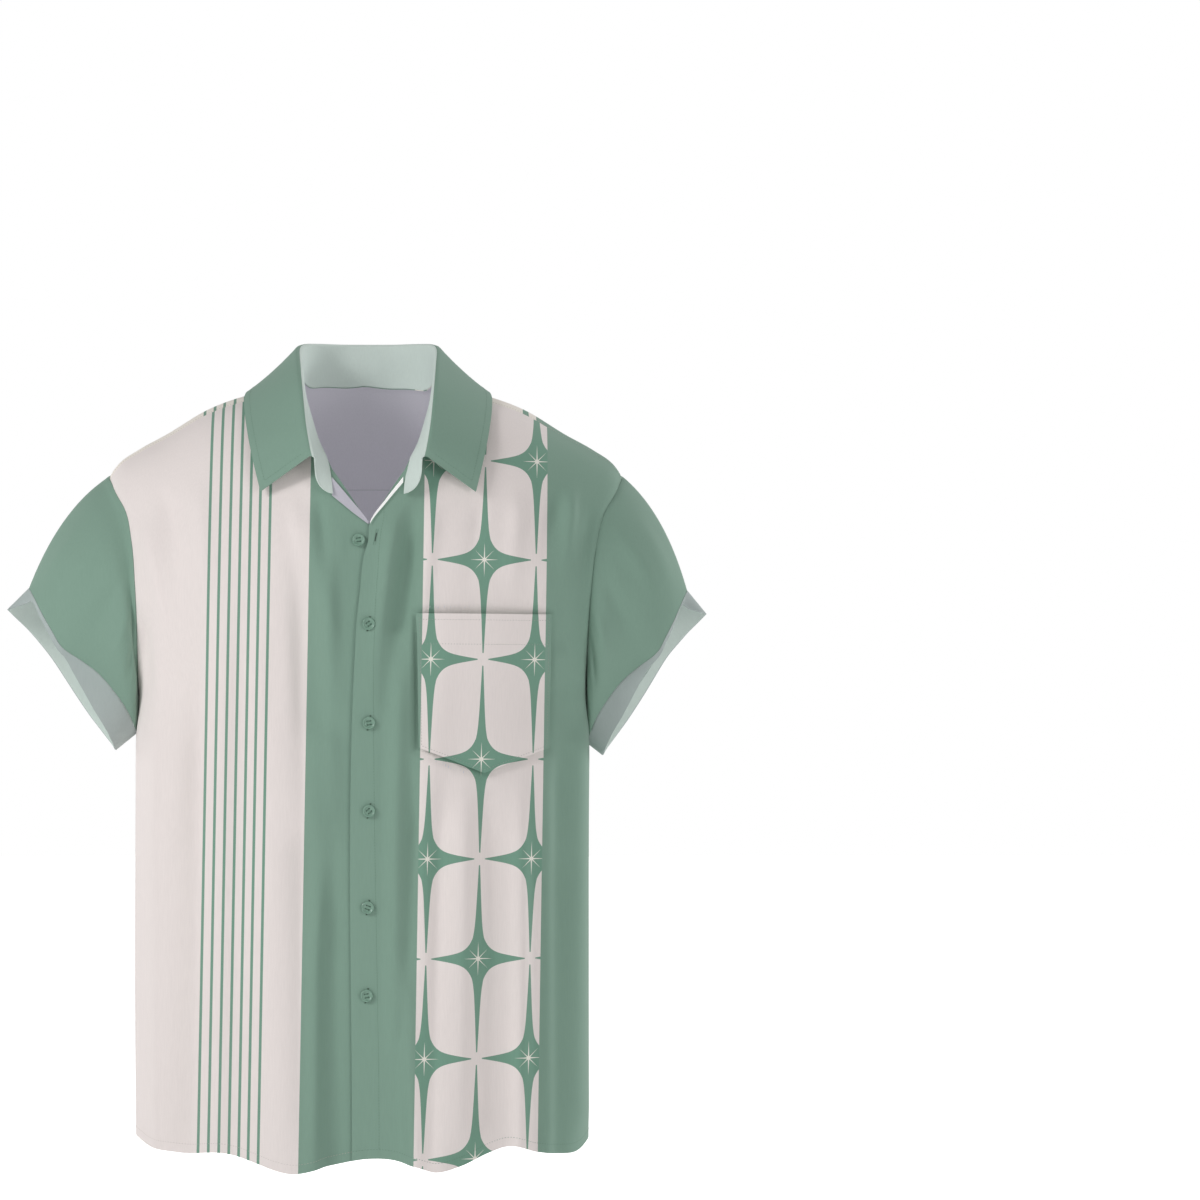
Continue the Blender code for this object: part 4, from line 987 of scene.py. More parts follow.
def pocket_press(x, z):
    """How much of the press behind the pocket a place on the front takes, from 0 to 1."""
    share = np.clip((x - POCKET_LEFT) / (POCKET_RIGHT - POCKET_LEFT), 0.0, 1.0)
    outside = np.maximum(np.maximum(POCKET_LEFT - x, x - POCKET_RIGHT),
                         np.maximum(z - POCKET_TOP, pocket_bottom(share) - z))
    return 1 - ramp(outside, 0.0, POCKET_PRESS_WIDTH)


def front_points(side, places, fine=1.0):
    """Middle points and normals of a front at some places, with a share of its fine folds."""
    base = torso(places[..., 0], places[..., 1])
    normal = torso_normal(places[..., 0], places[..., 1])
    x, z = base[..., 0], base[..., 2]
    under_lap = ramp(np.abs(x), *UNDER_LAP) if side < 0 else 1.0
    offset = front_offset(side, x, z) + front_relief(side, x, z) * fine * under_lap
    return base + normal * offset[..., None], normal


def make_front(side, seam, finish, inside):
    """One front: hem, side seam, armhole, shoulder seam, neckline and front edge."""
    edge = EDGE_OVER if side > 0 else EDGE_UNDER
    x_low = smooth(edge, "height", "x", EDGE_FOOT)
    columns = V_COLUMNS + NECK_COLUMNS + SHOULDER_COLUMNS
    hem = hem_row(HEM_FRONT, x_low, side * HEM_REACH, columns, -1)
    hem_height = torso(hem[-1, 0], hem[-1, 1])[2]
    outer = np.concatenate([side_rows(side, hem_height, -1), seam["front_arm"][1:]])
    outer[0] = hem[-1]
    hem_at_edge = torso(hem[0, 0], hem[0, 1])[2]
    heights = np.linspace(hem_at_edge, V_BOTTOM_HEIGHT, len(outer))
    inner = place(smooth(edge, "height", "x", heights), heights, -1)
    inner[0] = hem[0]
    neck_end = seam["neck_front"][-1]
    open_edge = blend(inner[-1], neck_end, V_COLUMNS)
    top = np.concatenate([open_edge, seam["neck_front"][::-1][1:], seam["shoulder"][1:]])
    places = patch(hem, top, inner, outer)
    base = torso(places[..., 0], places[..., 1])
    from_seam = np.linalg.norm(base - base[:, -1:], axis=-1)
    points, out = front_points(side, places, ramp(from_seam, 0.0, SEAM_QUIET))
    if side > 0:
        press = pocket_press(points[..., 0], points[..., 2]) * POCKET_PRESS
        points = points - out * press[..., None]
    edges = ["right", "top"]
    points = sunk(inset(points, edges), out, edges)
    normal = turned_out(grid_normals(points), out)
    add_shell("front_" + side_name(side), points, normal, CLOTH, finish, inside)
    return points, normal


def yoke_gathers(x, above):
    """How far the gathers push the yoke out, at a place across and a height above its seam."""
    relief = np.zeros_like(x)
    for i in range(len(YOKE_GATHERS["x"])):
        reach = 1 - ramp(above, 0.0, YOKE_GATHERS["length"][i])
        across = np.exp(-((x - YOKE_GATHERS["x"][i]) / YOKE_GATHERS["width"][i]) ** 2)
        relief += YOKE_GATHERS["height"][i] * reach * across * ramp(above, 0.0, GATHER_START)
    return relief


def make_back_and_yoke(right, left, finish, inside):
    """The back below the yoke seam, and the yoke from there over the shoulders."""
    columns = 2 * SHOULDER_COLUMNS + BACK_NECK_COLUMNS
    hem = hem_row(HEM_BACK, -HEM_REACH, HEM_REACH, columns, 1)
    sides = []
    for side, seam, end in ((-1, right, 0), (1, left, -1)):
        height = torso(hem[end, 0], hem[end, 1])[2]
        rows = np.concatenate([side_rows(side, height, 1), seam["back_arm"][1:]])
        rows[0] = hem[end]
        sides.append(rows)
    theta = np.linspace(right["back_arm"][-1, 0], left["back_arm"][-1, 0], columns + 1)
    lam = share_out(theta)
    level = YOKE_SEAM_MIDDLE + (YOKE_SEAM_END - YOKE_SEAM_MIDDLE) * (lam / lam[-1]) ** 2
    yoke_seam = place(across_at(lam, level), level, 1)
    yoke_seam[0] = right["back_arm"][-1]
    yoke_seam[-1] = left["back_arm"][-1]
    front = np.concatenate([right["shoulder"][::-1], right["neck_back"][::-1][1:],
                            left["neck_back"][1:], left["shoulder"][1:]])
    made = {}
    grids = {"back": (patch(hem, yoke_seam, sides[0], sides[1]), ["left", "right", "top"]),
             "yoke": (patch(front, yoke_seam, right["yoke_arm"], left["yoke_arm"]),
                      ["left", "right", "top", "bottom"])}
    for name, (places, edges) in grids.items():
        base = torso(places[..., 0], places[..., 1])
        out = torso_normal(places[..., 0], places[..., 1])
        x, z = base[..., 0], base[..., 2]
        relief = fold_relief(BACK_CREASES, x, z) * ramp(places[..., 1], *RIDGE_QUIET)
        from_seam = np.minimum(np.linalg.norm(base - base[:, :1], axis=-1),
                               np.linalg.norm(base - base[:, -1:], axis=-1))
        relief *= CREASE_STRENGTH * ramp(from_seam, 0.0, SEAM_QUIET)
        above = z - smooth({"x": x[-1], "z": z[-1]}, "x", "z", x)
        if name == "yoke":
            relief += yoke_gathers(x, above)
        relief *= ramp(np.abs(above), 0.0, YOKE_QUIET) * (1 - YOKE_FOLDS) + YOKE_FOLDS
        relief -= YOKE_DIP * (1 - ramp(np.abs(above), 0.0, YOKE_DIP_REACH))
        points = sunk(inset(base + out * relief[..., None], edges), out, edges)
        normal = turned_out(grid_normals(points), out)
        add_shell(name, points, normal, CLOTH, finish, inside)
        made[name] = (points, normal)
    return made


def end_ring(side, share, bow_front, bow_back, first, half_depth):
    """One ring of a sleeve's end; share 0 is the top, 0.25 the front, 0.5 the underarm."""
    ends = SLEEVE_ENDS[side_name(side)]
    top = np.array([ends["x"][first], ends["z"][first]])
    low = np.array([ends["x"][first + 1], ends["z"][first + 1]])
    chord = low - top
    outward = np.array([chord[1], -chord[0]]) / np.linalg.norm(chord)
    if outward[0] * side < 0:
        outward = -outward
    angle = share * 2 * math.pi
    down = (1 - np.cos(angle)) / 2
    front = smooth(CUFF_BOW, "down", bow_front, down) * MM
    back = smooth(CUFF_BOW, "down", bow_back, down) * MM
    bow = np.where(share <= 0.5, front, back)
    flat = top + chord * down[:, None] + outward * bow[:, None]
    y = -half_depth * np.sin(angle)
    return np.stack([flat[:, 0], y, flat[:, 1]], axis=-1)


def arm_ring(seam):
    """Armhole ring, top round the front to the underarm and up the back, with its normals."""
    front = seam["front_arm"][::-1]
    ring = np.concatenate([front, seam["back_arm"][1:], seam["yoke_arm"][::-1][1:-1]])
    points = torso(ring[:, 0], ring[:, 1])
    normal = torso_normal(ring[:, 0], ring[:, 1])
    run = run_lengths(np.concatenate([points, points[:1]]))
    under = run[len(front) - 1]
    tail = YOKE_ROWS * RING_TOP_SHIFT * (run[-1] - run[-2])
    total = run[-1]
    share = np.where(run[:-1] <= under, (run[:-1] + tail) / (under + tail) * 0.5,
                     0.5 + (run[:-1] - under) / (total - tail - under) * 0.5)
    return points, normal, share % 1.0


def sleeve_relief(side, share, under, swell):
    """How far the folds push a sleeve out, at each ring and each share of the way round."""
    rows = np.linspace(0.0, 1.0, SLEEVE_RINGS + 1)[:, None]
    relief = np.zeros((SLEEVE_RINGS + 1, len(share)))
    for folds, reach, quiet in ((SLEEVE_FOLDS, SLEEVE_FOLD_REACH, under),
                                (SLEEVE_CREASES, SLEEVE_CREASE_REACH, under ** 3)):
        for around, down, width, height in folds:
            near = np.abs((share[None, :] - around + 0.5) % 1.0 - 0.5)
            relief += height * MM * np.exp(-(near / width) ** 2) * np.exp(
                -((rows - down) / reach) ** 2) * (1 - quiet)
    relief *= np.sin(rows * math.pi)
    relief -= SLEEVE_DIP * (1 - ramp(rows, 0.0, SLEEVE_DIP_REACH))
    if side < 0:
        down, width, depth = SLEEVE_HOLLOW
        reach = np.exp(-((rows - down) / width) ** 2) * ramp(rows, 0.0, SLEEVE_HOLLOW_START)
        relief -= depth * reach * np.maximum(swell, 0.0)[None]
    return relief


def tuck_rings(points, normal):
    """Two rings of seam allowance behind the body cloth round the armhole, end first."""
    seam_line = unit(np.roll(points, -1, 0) - np.roll(points, 1, 0))
    away = unit(without(without(points - points.mean(axis=0), normal), seam_line))
    return np.stack([points - normal * depth + away * reach
                     for depth, reach in (TUCK_END, TUCK_EDGE)])


def make_sleeve(side, seam, finish, inside, cuff_finish):
    """A sleeve from the armhole to the cuff, and its turned-up cuff."""
    points, normal, share = arm_ring(seam)
    under = np.exp(-((share - 0.5) / UNDERARM_SPREAD) ** 2)
    join = end_ring(side, share, "join_front", "join_back", 0, CUFF_HALF_DEPTH)
    away = unit(join - points)
    start = points + normal * under[:, None] * UNDERARM_LIFT + away * SEAM_GAP
    crown = np.cos(share * 2 * math.pi) * 0.5 + 0.5
    swell = np.sin(share * 2 * math.pi)
    rings = []
    for t in np.linspace(0.0, 1.0, SLEEVE_RINGS + 1):
        hump = 4 * t * (1 - t)
        ring = start * (1 - t) + join * t
        ring[:, 2] += hump * SLEEVE_CROWN * crown
        ring[:, 0] += side * hump * SLEEVE_CROWN * CROWN_OUT * crown
        ring[:, 0] -= side * hump * UNDERARM_FILL * under ** 2
        ring[:, 1] -= hump * SLEEVE_FRONT_SWELL * swell
        rings.append(ring)
    middle = np.stack(rings)
    centre = middle.mean(axis=1, keepdims=True)
    facing = turned_out(grid_normals(middle, closed=True), middle - centre)
    middle = middle + facing * sleeve_relief(side, share, under, swell)[..., None]
    middle = np.concatenate([tuck_rings(points, normal), middle])
    centre = np.concatenate([centre[:1], centre[:1], centre])
    facing = turned_out(grid_normals(middle, closed=True), middle - centre)
    end = middle[-1].copy()
    tangent = unit(np.roll(end, -1, 0) - np.roll(end, 1, 0))
    forward = unit(without(end - middle[-2], tangent))
    middle[-1] -= forward * CUFF_SEAM
    add_shell("sleeve_" + side_name(side), middle, facing, CLOTH, finish, inside, closed=True)
    fold = end_ring(side, share, "fold_front", "fold_back", 2, CUFF_HALF_DEPTH + CUFF_FLARE)
    span = fold - end
    reach = np.sum(span * forward, axis=-1, keepdims=True)
    slip = np.sum(span * tangent, axis=-1, keepdims=True)
    steady = ramp(reach, 0.0, CUFF_STEADY)
    fold += forward * np.maximum(CUFF_LEAST - reach, 0.0) - tangent * slip * (1 - steady)
    cuff = blend(end, fold, CUFF_RINGS)
    cuff_facing = np.repeat(facing[-1:], CUFF_RINGS + 1, axis=0)
    # The cuff takes the painted-shade copy of the pale cloth
    add_shell("cuff_" + side_name(side), cuff, cuff_facing, CUFF_CLOTH, cuff_finish, inside,
              closed=True)


def collar_rows(marks):
    """Neck seam, fold and free edge of the collar at marks from -1 (right) to 1 (left)."""
    size = np.abs(marks)
    side = np.where(marks < 0, -1.0, 1.0)
    fall = evenly(NECK_SEAM["fall"] / RIGHT_ANGLE, size)
    theta = angle_at((side * evenly(NECK_SEAM["out"] * MM, size) + NECK_CENTRE_X) / SHOULDER_HALF)
    out_of_body = torso_normal(theta, fall)
    seam = torso(theta, fall) + out_of_body * (WALL / 2 + STAND_FOOT)
    last = ramp(size, STAND_END_START, 1.0)[:, None]
    end = np.stack([side * STAND_END[0] + NECK_CENTRE_X, np.full_like(size, STAND_END[1]),
                    np.full_like(size, STAND_END[2])], axis=-1)
    seam = seam * (1 - last) + end * last
    lines = []
    for line in ("fold", "edge"):
        out, y, z = [evenly(COLLAR[line + part], size) for part in ("_out", "_y", "_z")]
        lines.append(np.stack([side * out + NECK_CENTRE_X, y, z], axis=-1))
    return seam, lines[0], lines[1], out_of_body, 1 - last[:, 0]


def make_collar(finish, inner_finish):
    """The stand up from the neck seam, and the fall rolled over its top edge."""
    back_shares, front_shares = neck_shares()
    half_marks = np.concatenate([back_shares, front_shares[1:]])
    marks = np.concatenate([-half_marks[::-1], half_marks[1:]])
    seam, fold, edge, foot_normal, body_share = collar_rows(marks)
    up = unit(fold - seam)
    down = unit(edge - fold)
    top = unit(up - down)
    outward = unit(without(up + down, top))
    start = np.arccos(np.clip(np.sum(up * top, axis=-1, keepdims=True), 0.0, 1.0))
    rolled = []
    for share in np.linspace(0.0, 1.0, ROLL_STEPS + 1):
        angle = start + (math.pi - 2 * start) * share
        over = top * (np.sin(angle) - 1) - outward * np.cos(angle)
        rolled.append(fold + over * (COLLAR_ROLL / 2 + OPEN_ROLL * start))
    over_top = ROLL_STEPS // 2
    shares = np.linspace(0.0, 1.0, STAND_STEPS + 1)
    stand = blend(seam, rolled[0], STAND_STEPS)
    tuck = (STAND_FOOT + WALL / 2) * (1 - ramp(shares, 0.0, STAND_TUCK_END))
    stand -= foot_normal[None] * tuck[:, None, None] * body_share[None, :, None]
    bulge = np.sin(math.pi * shares ** STAND_BULGE) * STAND_ROUNDING
    spread = bulge[:, None] * ramp(np.abs(marks), STAND_END_START, 1.0)[None]
    stand[..., 0] += spread * np.sign(marks)[None] * STAND_SPREAD[0]
    stand[..., 2] += spread * STAND_SPREAD[1]
    ground, _ = front_points(1, place(stand[..., 0], stand[..., 2], -1))
    clear = np.minimum(stand[..., 1], ground[..., 1] - WALL)
    stand[..., 1] = np.where(spread > SPREAD_LEAST, clear, stand[..., 1])
    stand = np.concatenate([stand, np.stack(rolled[1:over_top + 1])])
    add_shell("collar_stand", inset(stand, ["top"]), grid_normals(stand), COLLAR_CLOTH,
              inner_finish, inner_finish)
    leaf = blend(rolled[-1], edge, LEAF_STEPS)
    fall = np.concatenate([np.stack(rolled[over_top:]), leaf[1:]])
    normal = grid_normals(fall)
    add_shell("collar_fall", inset(fall, ["bottom"]), normal, COLLAR_CLOTH, finish, finish)
    return fall, normal


def make_turnback(side, finish):
    """The narrow strip beside the open neck that turns back over the front."""
    edge = EDGE_OVER if side > 0 else EDGE_UNDER
    share = np.linspace(0.0, 1.0, TURNBACK_ROWS + 1)
    heights = V_BOTTOM_HEIGHT + (V_TOP_HEIGHT - V_BOTTOM_HEIGHT) * share
    most = TURNBACK_DROP[side_name(side)]
    drop = TURNBACK_LEAST + (most - TURNBACK_LEAST) * share ** TURNBACK_BEND
    columns = np.linspace(0.0, 1.0, TURNBACK_COLUMNS)
    x = np.repeat(smooth(edge, "height", "x", heights)[:, None], TURNBACK_COLUMNS, axis=1)
    z = heights[:, None] - drop[:, None] * columns[None]
    points, normal = front_points(side, place(x, z, -1), fine=0.0)
    lifted = points + normal * (LAPPED + TURNBACK_EASE)
    add_shell("turnback_" + side_name(side), lifted, normal, CLOTH, finish, finish)


def make_pocket(finish, inside):
    """The breast pocket, made from the front's points moved out."""
    across = np.linspace(0.0, 1.0, POCKET_COLUMNS + 1)
    down = np.linspace(0.0, 1.0, POCKET_ROWS + 1)[:, None]
    left = POCKET_LEFT + POCKET_TAPER * down
    right = POCKET_RIGHT - POCKET_TAPER * down
    x = left + (right - left) * across[None]
    z = POCKET_TOP + (pocket_bottom(across) - POCKET_TOP)[None] * down
    points, normal = front_points(1, place(x, z, -1))
    full = np.sin(math.pi * across)[None] * ramp(1 - down, 0.0, 1.0)
    lift = LAPPED + POCKET_EASE + POCKET_FULLNESS * full
    points, normal = (points + normal * lift[..., None])[::-1], normal[::-1]
    add_shell("pocket", points, normal, POCKET_CLOTH, finish, inside)
    return points, normal


def run_lengths(line):
    """Distance along a line to each of its points."""
    steps = np.linalg.norm(np.diff(line, axis=0), axis=-1)
    return np.concatenate([[0.0], np.cumsum(steps)])


def at_marks(marks, run, values):
    """Points or vectors of a line at distances along it."""
    return np.stack([np.interp(marks, run, values[:, k]) for k in range(3)], axis=-1)


def inset_line(points, normal, edge, distance, trim=(0.0, 0.0)):
    """A line on a grid at a distance from one edge, cut short at both ends."""
    if edge in ("left", "right"):
        points, normal = points.swapaxes(0, 1), normal.swapaxes(0, 1)
    if edge in ("top", "right"):
        points, normal = points[::-1], normal[::-1]
    line = []
    facing = []
    for j in range(points.shape[1]):
        run = run_lengths(points[:, j])
        line.append(at_marks(distance, run, points[:, j]))
        facing.append(at_marks(distance, run, normal[:, j]))
    line, facing = np.array(line), np.array(facing)
    run = run_lengths(line)
    marks = np.linspace(trim[0], run[-1] - trim[1], 2 * len(line))
    return at_marks(marks, run, line), unit(at_marks(marks, run, facing))


def add_stitch(points, faces, spots, up, lift):
    """One short thread through four spots, with both ends down in the cloth."""
    across = np.cross(up, unit(spots[-1] - spots[0]))
    base = len(points)
    points.append(spots[0] + up * (lift - THREAD / 2))
    for k in (1, 2):
        for turn in range(4):
            angle = turn * math.pi / 2
            around = across * math.cos(angle) + up * math.sin(angle)
            points.append(spots[k] + up * (lift + THREAD_RISE) + around * THREAD / 2)
    points.append(spots[3] + up * (lift - THREAD / 2))
    for turn in range(4):
        a = base + 1 + turn
        b = base + 1 + (turn + 1) % 4
        faces.append((base, b, a))
        faces.append((a, b, b + 4, a + 4))
        faces.append((a + 4, b + 4, base + 9))


def thread_mesh(name, points, faces, finish):
    """A smooth mesh in one material."""
    mesh = bpy.data.meshes.new(name)
    mesh.from_pydata([tuple(p) for p in points], [], faces)
    mesh.materials.append(finish)
    mesh.shade_smooth()
    return mesh


def sew(name, lines, lift, finish):
    """Rows of stitches along lines."""
    points = []
    faces = []
    for line, facing in lines:
        run = run_lengths(line)
        count = max(int(run[-1] / STITCH_PITCH), 1)
        for i in range(count):
            start = (i + STITCH_START) * run[-1] / count
            marks = start + STITCH_LENGTH * np.array(STITCH_SPOTS)
            up = unit(at_marks(marks[1], run, facing))
            add_stitch(points, faces, at_marks(marks, run, line), up, lift)
    add_piece(name, thread_mesh(name, points, faces, finish))


def make_buttonholes(finish, slit_finish):
    """Stitched slits in the over front: the top one is empty, the rest are behind buttons.  Each
    slit is a dark sheet of painted shade.
    """
    points = []
    faces = []
    slits = []
    slit_faces = []
    spots = [TOP_BUTTONHOLE] + list(zip(BUTTONS["x"][1:], BUTTONS["z"][1:]))
    for x, z in spots:
        along_hole = BUTTONHOLE_LENGTH * np.linspace(0.5, -0.5, BUTTONHOLE_STITCHES)[:, None]
        for way in (-1, 1):
            across = way * np.linspace(BUTTONHOLE_INNER, 1.0, 4) * BUTTONHOLE_HALF
            rows, facing = front_points(1, place(x + BUTTONHOLE_LEAN * along_hole + across[None],
                                                 z + np.repeat(along_hole, 4, axis=1), -1))
            for row, up in zip(rows, facing):
                add_stitch(points, faces, row, up[1], CLOTH / 2)
        # The slit: a dark sheet laid just over the cloth, painted shade in the opening
        wide = np.array([-1, 1]) * BUTTONHOLE_HALF * SLIT_HALF
        if x == TOP_BUTTONHOLE[0]:
            along_hole = along_hole * TOP_SLIT_SHARE
        rows, facing = front_points(1, place(x + BUTTONHOLE_LEAN * along_hole + wide[None],
                                             z + np.repeat(along_hole, 2, axis=1), -1))
        base = len(slits)
        slits.extend((rows + facing * (CLOTH / 2 + SLIT_LIFT)).reshape(-1, 3))
        for k in range(base, len(slits) - 2, 2):
            slit_faces.append((k, k + 2, k + 3, k + 1))
    add_piece("buttonholes", thread_mesh("buttonholes", points, faces, finish))
    add_piece("buttonhole_slits", thread_mesh("buttonhole_slits", slits, slit_faces, slit_finish))


def lathe(profile, sides):
    """A turned solid from a profile of radius and height."""
    disc = bmesh.new()
    verts = [disc.verts.new((r, 0.0, z)) for r, z in profile]
    edges = [disc.edges.new(pair) for pair in zip(verts[:-1], verts[1:])]
    bmesh.ops.spin(disc, geom=verts + edges, axis=(0, 0, 1), cent=(0, 0, 0),
                   angle=2 * math.pi, steps=sides)
    bmesh.ops.remove_doubles(disc, verts=disc.verts, dist=1e-6)
    bmesh.ops.recalc_face_normals(disc, faces=disc.faces)
    return disc


def button_mesh(finish):
    """A dished button with a rounded rim and four holes through it."""
    disc = lathe([(BUTTON_RADIUS * r, BUTTON_THICK * z) for r, z in BUTTON_PROFILE], BUTTON_SIDES)
    mesh = bpy.data.meshes.new("button")
    disc.to_mesh(mesh)
    disc.free()
    mesh.materials.append(finish)
    cutter = bpy.data.meshes.new("holes")
    tool = bmesh.new()
    for sx in (-1, 1):
        for sy in (-1, 1):
            spot = Vector((sx * BUTTON_HOLE_PITCH, sy * BUTTON_HOLE_PITCH, BUTTON_THICK / 2))
            bmesh.ops.create_cone(tool, cap_ends=True, segments=HOLE_SIDES,
                                  radius1=BUTTON_HOLE_RADIUS, radius2=BUTTON_HOLE_RADIUS,
                                  depth=BUTTON_THICK * HOLE_DEPTH,
                                  matrix=Matrix.Translation(spot))
    tool.to_mesh(cutter)
    tool.free()
    body = bpy.data.objects.new("button_body", mesh)
    holes = bpy.data.objects.new("button_holes", cutter)
    for thing in (body, holes):
        bpy.context.scene.collection.objects.link(thing)
    cut = body.modifiers.new("holes", "BOOLEAN")
    cut.object = holes
    found = bpy.context.evaluated_depsgraph_get()
    drilled = bpy.data.meshes.new_from_object(body.evaluated_get(found))
    for thing in (body, holes):
        bpy.data.objects.remove(thing, do_unlink=True)
    drilled.shade_smooth()
    drilled.set_sharp_from_angle(angle=BUTTON_SHARP)
    return drilled


def add_bar(points, faces, start, end):
    """A short arched thread from one place to another, in a button's own axes."""
    start, end = np.array(start), np.array(end)
    upward = np.array([0.0, 0.0, 1.0])
    across = np.cross(upward, unit(end - start))
    base = len(points)
    for t in np.linspace(0.0, 1.0, BAR_STEPS + 1):
        spot = start + (end - start) * t + upward * BAR_ARCH * math.sin(math.pi * t)
        for turn in range(BAR_SIDES):
            angle = turn * 2 * math.pi / BAR_SIDES
            around = across * math.cos(angle) + upward * math.sin(angle)
            points.append(spot + around * BAR_RADIUS)
    for i in range(BAR_STEPS):
        for turn in range(BAR_SIDES):
            a = base + i * BAR_SIDES + turn
            b = base + i * BAR_SIDES + (turn + 1) % BAR_SIDES
            faces.append((a, b, b + BAR_SIDES, a + BAR_SIDES))


def make_buttons(finish, thread):
    """Six buttons on the fronts, sewn through their holes."""
    mesh = button_mesh(finish)
    points = []
    faces = []
    pitch = BUTTON_HOLE_PITCH
    floor = BUTTON_THICK * BAR_FLOOR
    for y in (-pitch, pitch):
        for offset in (-BAR_APART, BAR_APART):
            add_bar(points, faces, (-pitch, y + offset, floor), (pitch, y + offset, floor))
    bars = thread_mesh("button_thread", points, faces, thread)
    for i, (x, z) in enumerate(zip(BUTTONS["x"], BUTTONS["z"])):
        side = -1 if i == 0 else 1
        spot, normal = front_points(side, place([x], [z], -1), fine=0.0)
        base = Vector(spot[0]) + Vector(normal[0]) * (WALL / 2 + BUTTON_STAND_OFF)
        turn = Vector(normal[0]).to_track_quat("Z", "Y").to_matrix().to_4x4()
        spin = Matrix.Rotation(math.radians(BUTTON_TURNS[i]), 4, "Z")
        name = "button_" + str(i + 1)
        for label, source, nodes in ((name, mesh, [name]), (name + "_thread", bars, [])):
            copy = source.copy()
            copy.transform(Matrix.Translation(base) @ turn @ spin)
            add_piece(label, copy, nodes)


def aim_from(thing, spot, target):
    """Stand a camera or a lamp at a spot, and turn it to a target."""
    bpy.context.scene.collection.objects.link(thing)
    thing.location = spot
    aim = Vector(target) - Vector(spot)
    thing.rotation_euler = aim.to_track_quat("-Z", "Y").to_euler()


def make_camera():
    """The camera, placed and turned so that the shirt lands where the photo has it."""
    camera = bpy.data.objects.new("camera", bpy.data.cameras.new("camera"))
    aim_from(camera, CAMERA_PLACE, CAMERA_TARGET)
    camera.data.lens = CAMERA_LENS
    camera.data.sensor_width = CAMERA_SENSOR
    bpy.context.scene.camera = camera


def make_light(name, spot, size, power):
    """A soft square lamp aimed at the shirt."""
    lamp = bpy.data.lights.new(name, "AREA")
    lamp.shape = "SQUARE"
    lamp.size = size
    lamp.energy = power
    aim_from(bpy.data.objects.new(name, lamp), spot, LAMP_TARGET)


def white_when_seen(tree):
    """A strength of 1 for what the camera sees, and the ambient level for other rays."""
    ray = tree.nodes.new("ShaderNodeLightPath")
    seen = tree.nodes.new("ShaderNodeMapRange")
    seen.inputs["To Min"].default_value = AMBIENT
    seen.inputs["To Max"].default_value = 1.0
    tree.links.new(ray.outputs["Is Camera Ray"], seen.inputs["Value"])
    return seen.outputs["Result"]


def make_studio(floor_height):
    """White surroundings, a pale floor and soft lamps, the same in front and behind."""
    scene = bpy.context.scene
    scene.view_settings.view_transform = "Standard"
    world = bpy.data.worlds.new("studio")
    scene.world = world
    world.use_nodes = True
    tree = world.node_tree
    backdrop = tree.nodes["Background"]
    backdrop.inputs["Color"].default_value = (1, 1, 1, 1)
    tree.links.new(white_when_seen(tree), backdrop.inputs["Strength"])
    for lamp in LAMPS:
        make_light(*lamp)
    bpy.ops.mesh.primitive_plane_add(size=FLOOR_SIZE, location=(0.0, 0.0, floor_height))
    floor = bpy.context.object
    floor.name = "floor"
    finish = bpy.data.materials.new("floor")
    finish.use_nodes = True
    shader = finish.node_tree.nodes["Principled BSDF"]
    shader.inputs["Base Color"].default_value = (*FLOOR_COLOUR, 1.0)
    shader.inputs["Roughness"].default_value = FLOOR_ROUGHNESS
    shader.inputs["Emission Color"].default_value = (1, 1, 1, 1)
    finish.node_tree.links.new(white_when_seen(finish.node_tree),
                               shader.inputs["Emission Strength"])
    floor.data.materials.append(finish)


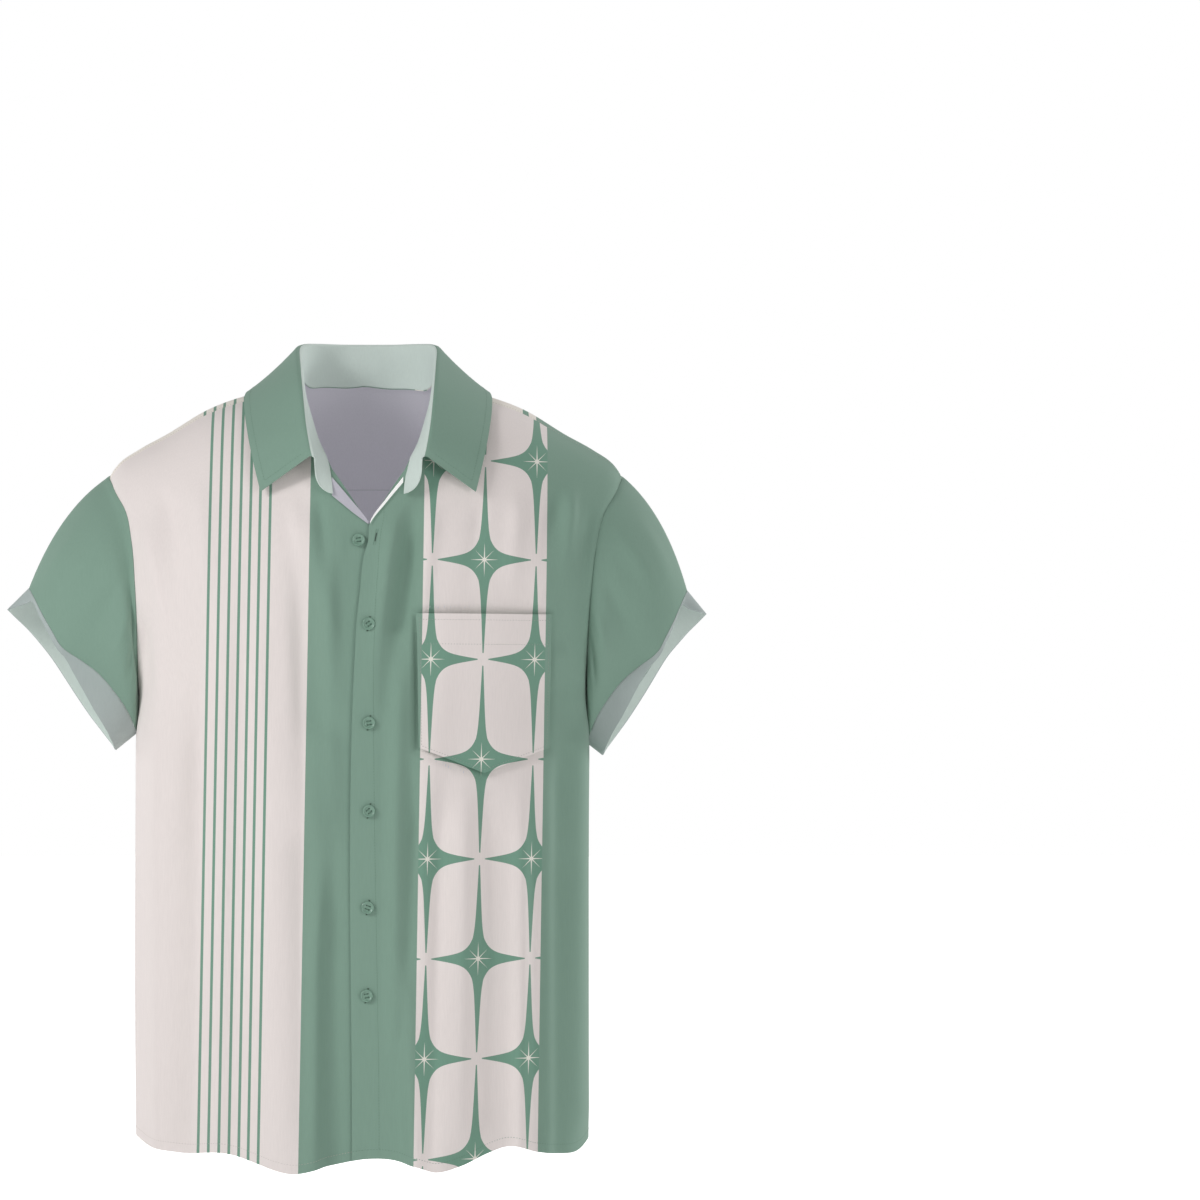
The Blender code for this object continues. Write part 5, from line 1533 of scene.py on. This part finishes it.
def make_cloth():
    """Every cloth piece with its stitches, then the buttons and their holes."""
    front_cloth = cloth_material("front_print", lambda tree: print_colour(
        tree, FRONT_PRINT, CREAM, True))
    back_cloth = cloth_material("back_print", lambda tree: print_colour(
        tree, BACK_PRINT, BACK_CREAM, False))
    green_cloth = cloth_material("green_cloth", GREEN)
    # The pale and inside cloth glow in their own colour: painted light on the shaded wrong side
    pale_cloth = cloth_material("pale_cloth", PALE_GREEN, True, PAINTED_THROUGH_GLOW)
    inside_cloth = cloth_material("inside_cloth", PALE_INSIDE, True, PAINTED_THROUGH_GLOW)
    green_thread = thread_material("green_thread", GREEN_THREAD)
    cream_thread = thread_material("cream_thread", CREAM_THREAD)
    pale_thread = thread_material("pale_thread", PALE_THREAD)
    # The strips: a painted-shade copy on the right, and a near-white glowing copy, painted light,
    # on the left
    strip_right_painted_shade = cloth_material("strip_right_painted_shade", STRIP_RIGHT_PAINTED_SHADE, True)
    strip_left_painted_light = cloth_material("strip_left_painted_light", STRIP_LEFT_PAINTED_LIGHT, True, STRIP_PAINTED_GLOW)
    # Cuffs in the darker copy of the pale cloth: painted shade
    cuff_painted_shade_cloth = cloth_material("cuff_painted_shade_cloth", CUFF_PAINTED_SHADE)
    right = seams(-1)
    left = seams(1)
    lift = CLOTH / 2
    for side, seam, thread in ((-1, right, cream_thread), (1, left, green_thread)):
        points, normal = make_front(side, seam, front_cloth, inside_cloth)
        lines = [inset_line(points, normal, "bottom", HEM_STITCH)]
        if side > 0:
            lines.append(inset_line(points, normal, "left", PLACKET_WIDTH, (HEM_STITCH, 0.0)))
        sew("stitch_front_" + side_name(side), lines, lift, thread)
    made = make_back_and_yoke(right, left, back_cloth, inside_cloth)
    sew("stitch_back", [inset_line(*made["back"], "bottom", HEM_STITCH)], lift, cream_thread)
    lines = [inset_line(*made["yoke"], edge, YOKE_STITCH) for edge in ("top", "bottom")]
    sew("stitch_yoke", lines, lift, cream_thread)
    for side, seam, strip in ((-1, right, strip_right_painted_shade), (1, left, strip_left_painted_light)):
        make_sleeve(side, seam, green_cloth, pale_cloth, cuff_painted_shade_cloth)
        make_turnback(side, strip)
    collar = make_collar(green_cloth, pale_cloth)
    lines = [inset_line(*collar, "top", COLLAR_STITCH, (COLLAR_STITCH, COLLAR_STITCH))]
    for edge in ("left", "right"):
        lines.append(inset_line(*collar, edge, COLLAR_STITCH, (COLLAR_TRIM, COLLAR_STITCH)))
    sew("stitch_collar", lines, COLLAR_CLOTH / 2, green_thread)
    pocket = make_pocket(front_cloth, pale_cloth)
    lines = []
    for edge, reach in (("left", POCKET_STITCH), ("right", POCKET_STITCH),
                        ("bottom", POCKET_STITCH), ("top", POCKET_STITCH * 2),
                        ("top", POCKET_HEM)):
        lines.append(inset_line(*pocket, edge, reach, (POCKET_STITCH, POCKET_STITCH)))
    sew("stitch_pocket", lines, POCKET_CLOTH / 2, pale_thread)
    make_buttons(button_material(), green_thread)
    # The buttonhole slits take a dark colour as painted shade
    make_buttonholes(green_thread, thread_material("slit", SLIT_PAINTED_SHADE))


def main():
    """The studio and the dressed shirt."""
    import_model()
    cad_low, cad_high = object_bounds()
    make_camera()
    make_studio(cad_low.z - FLOOR_BELOW)
    make_cloth()


main()
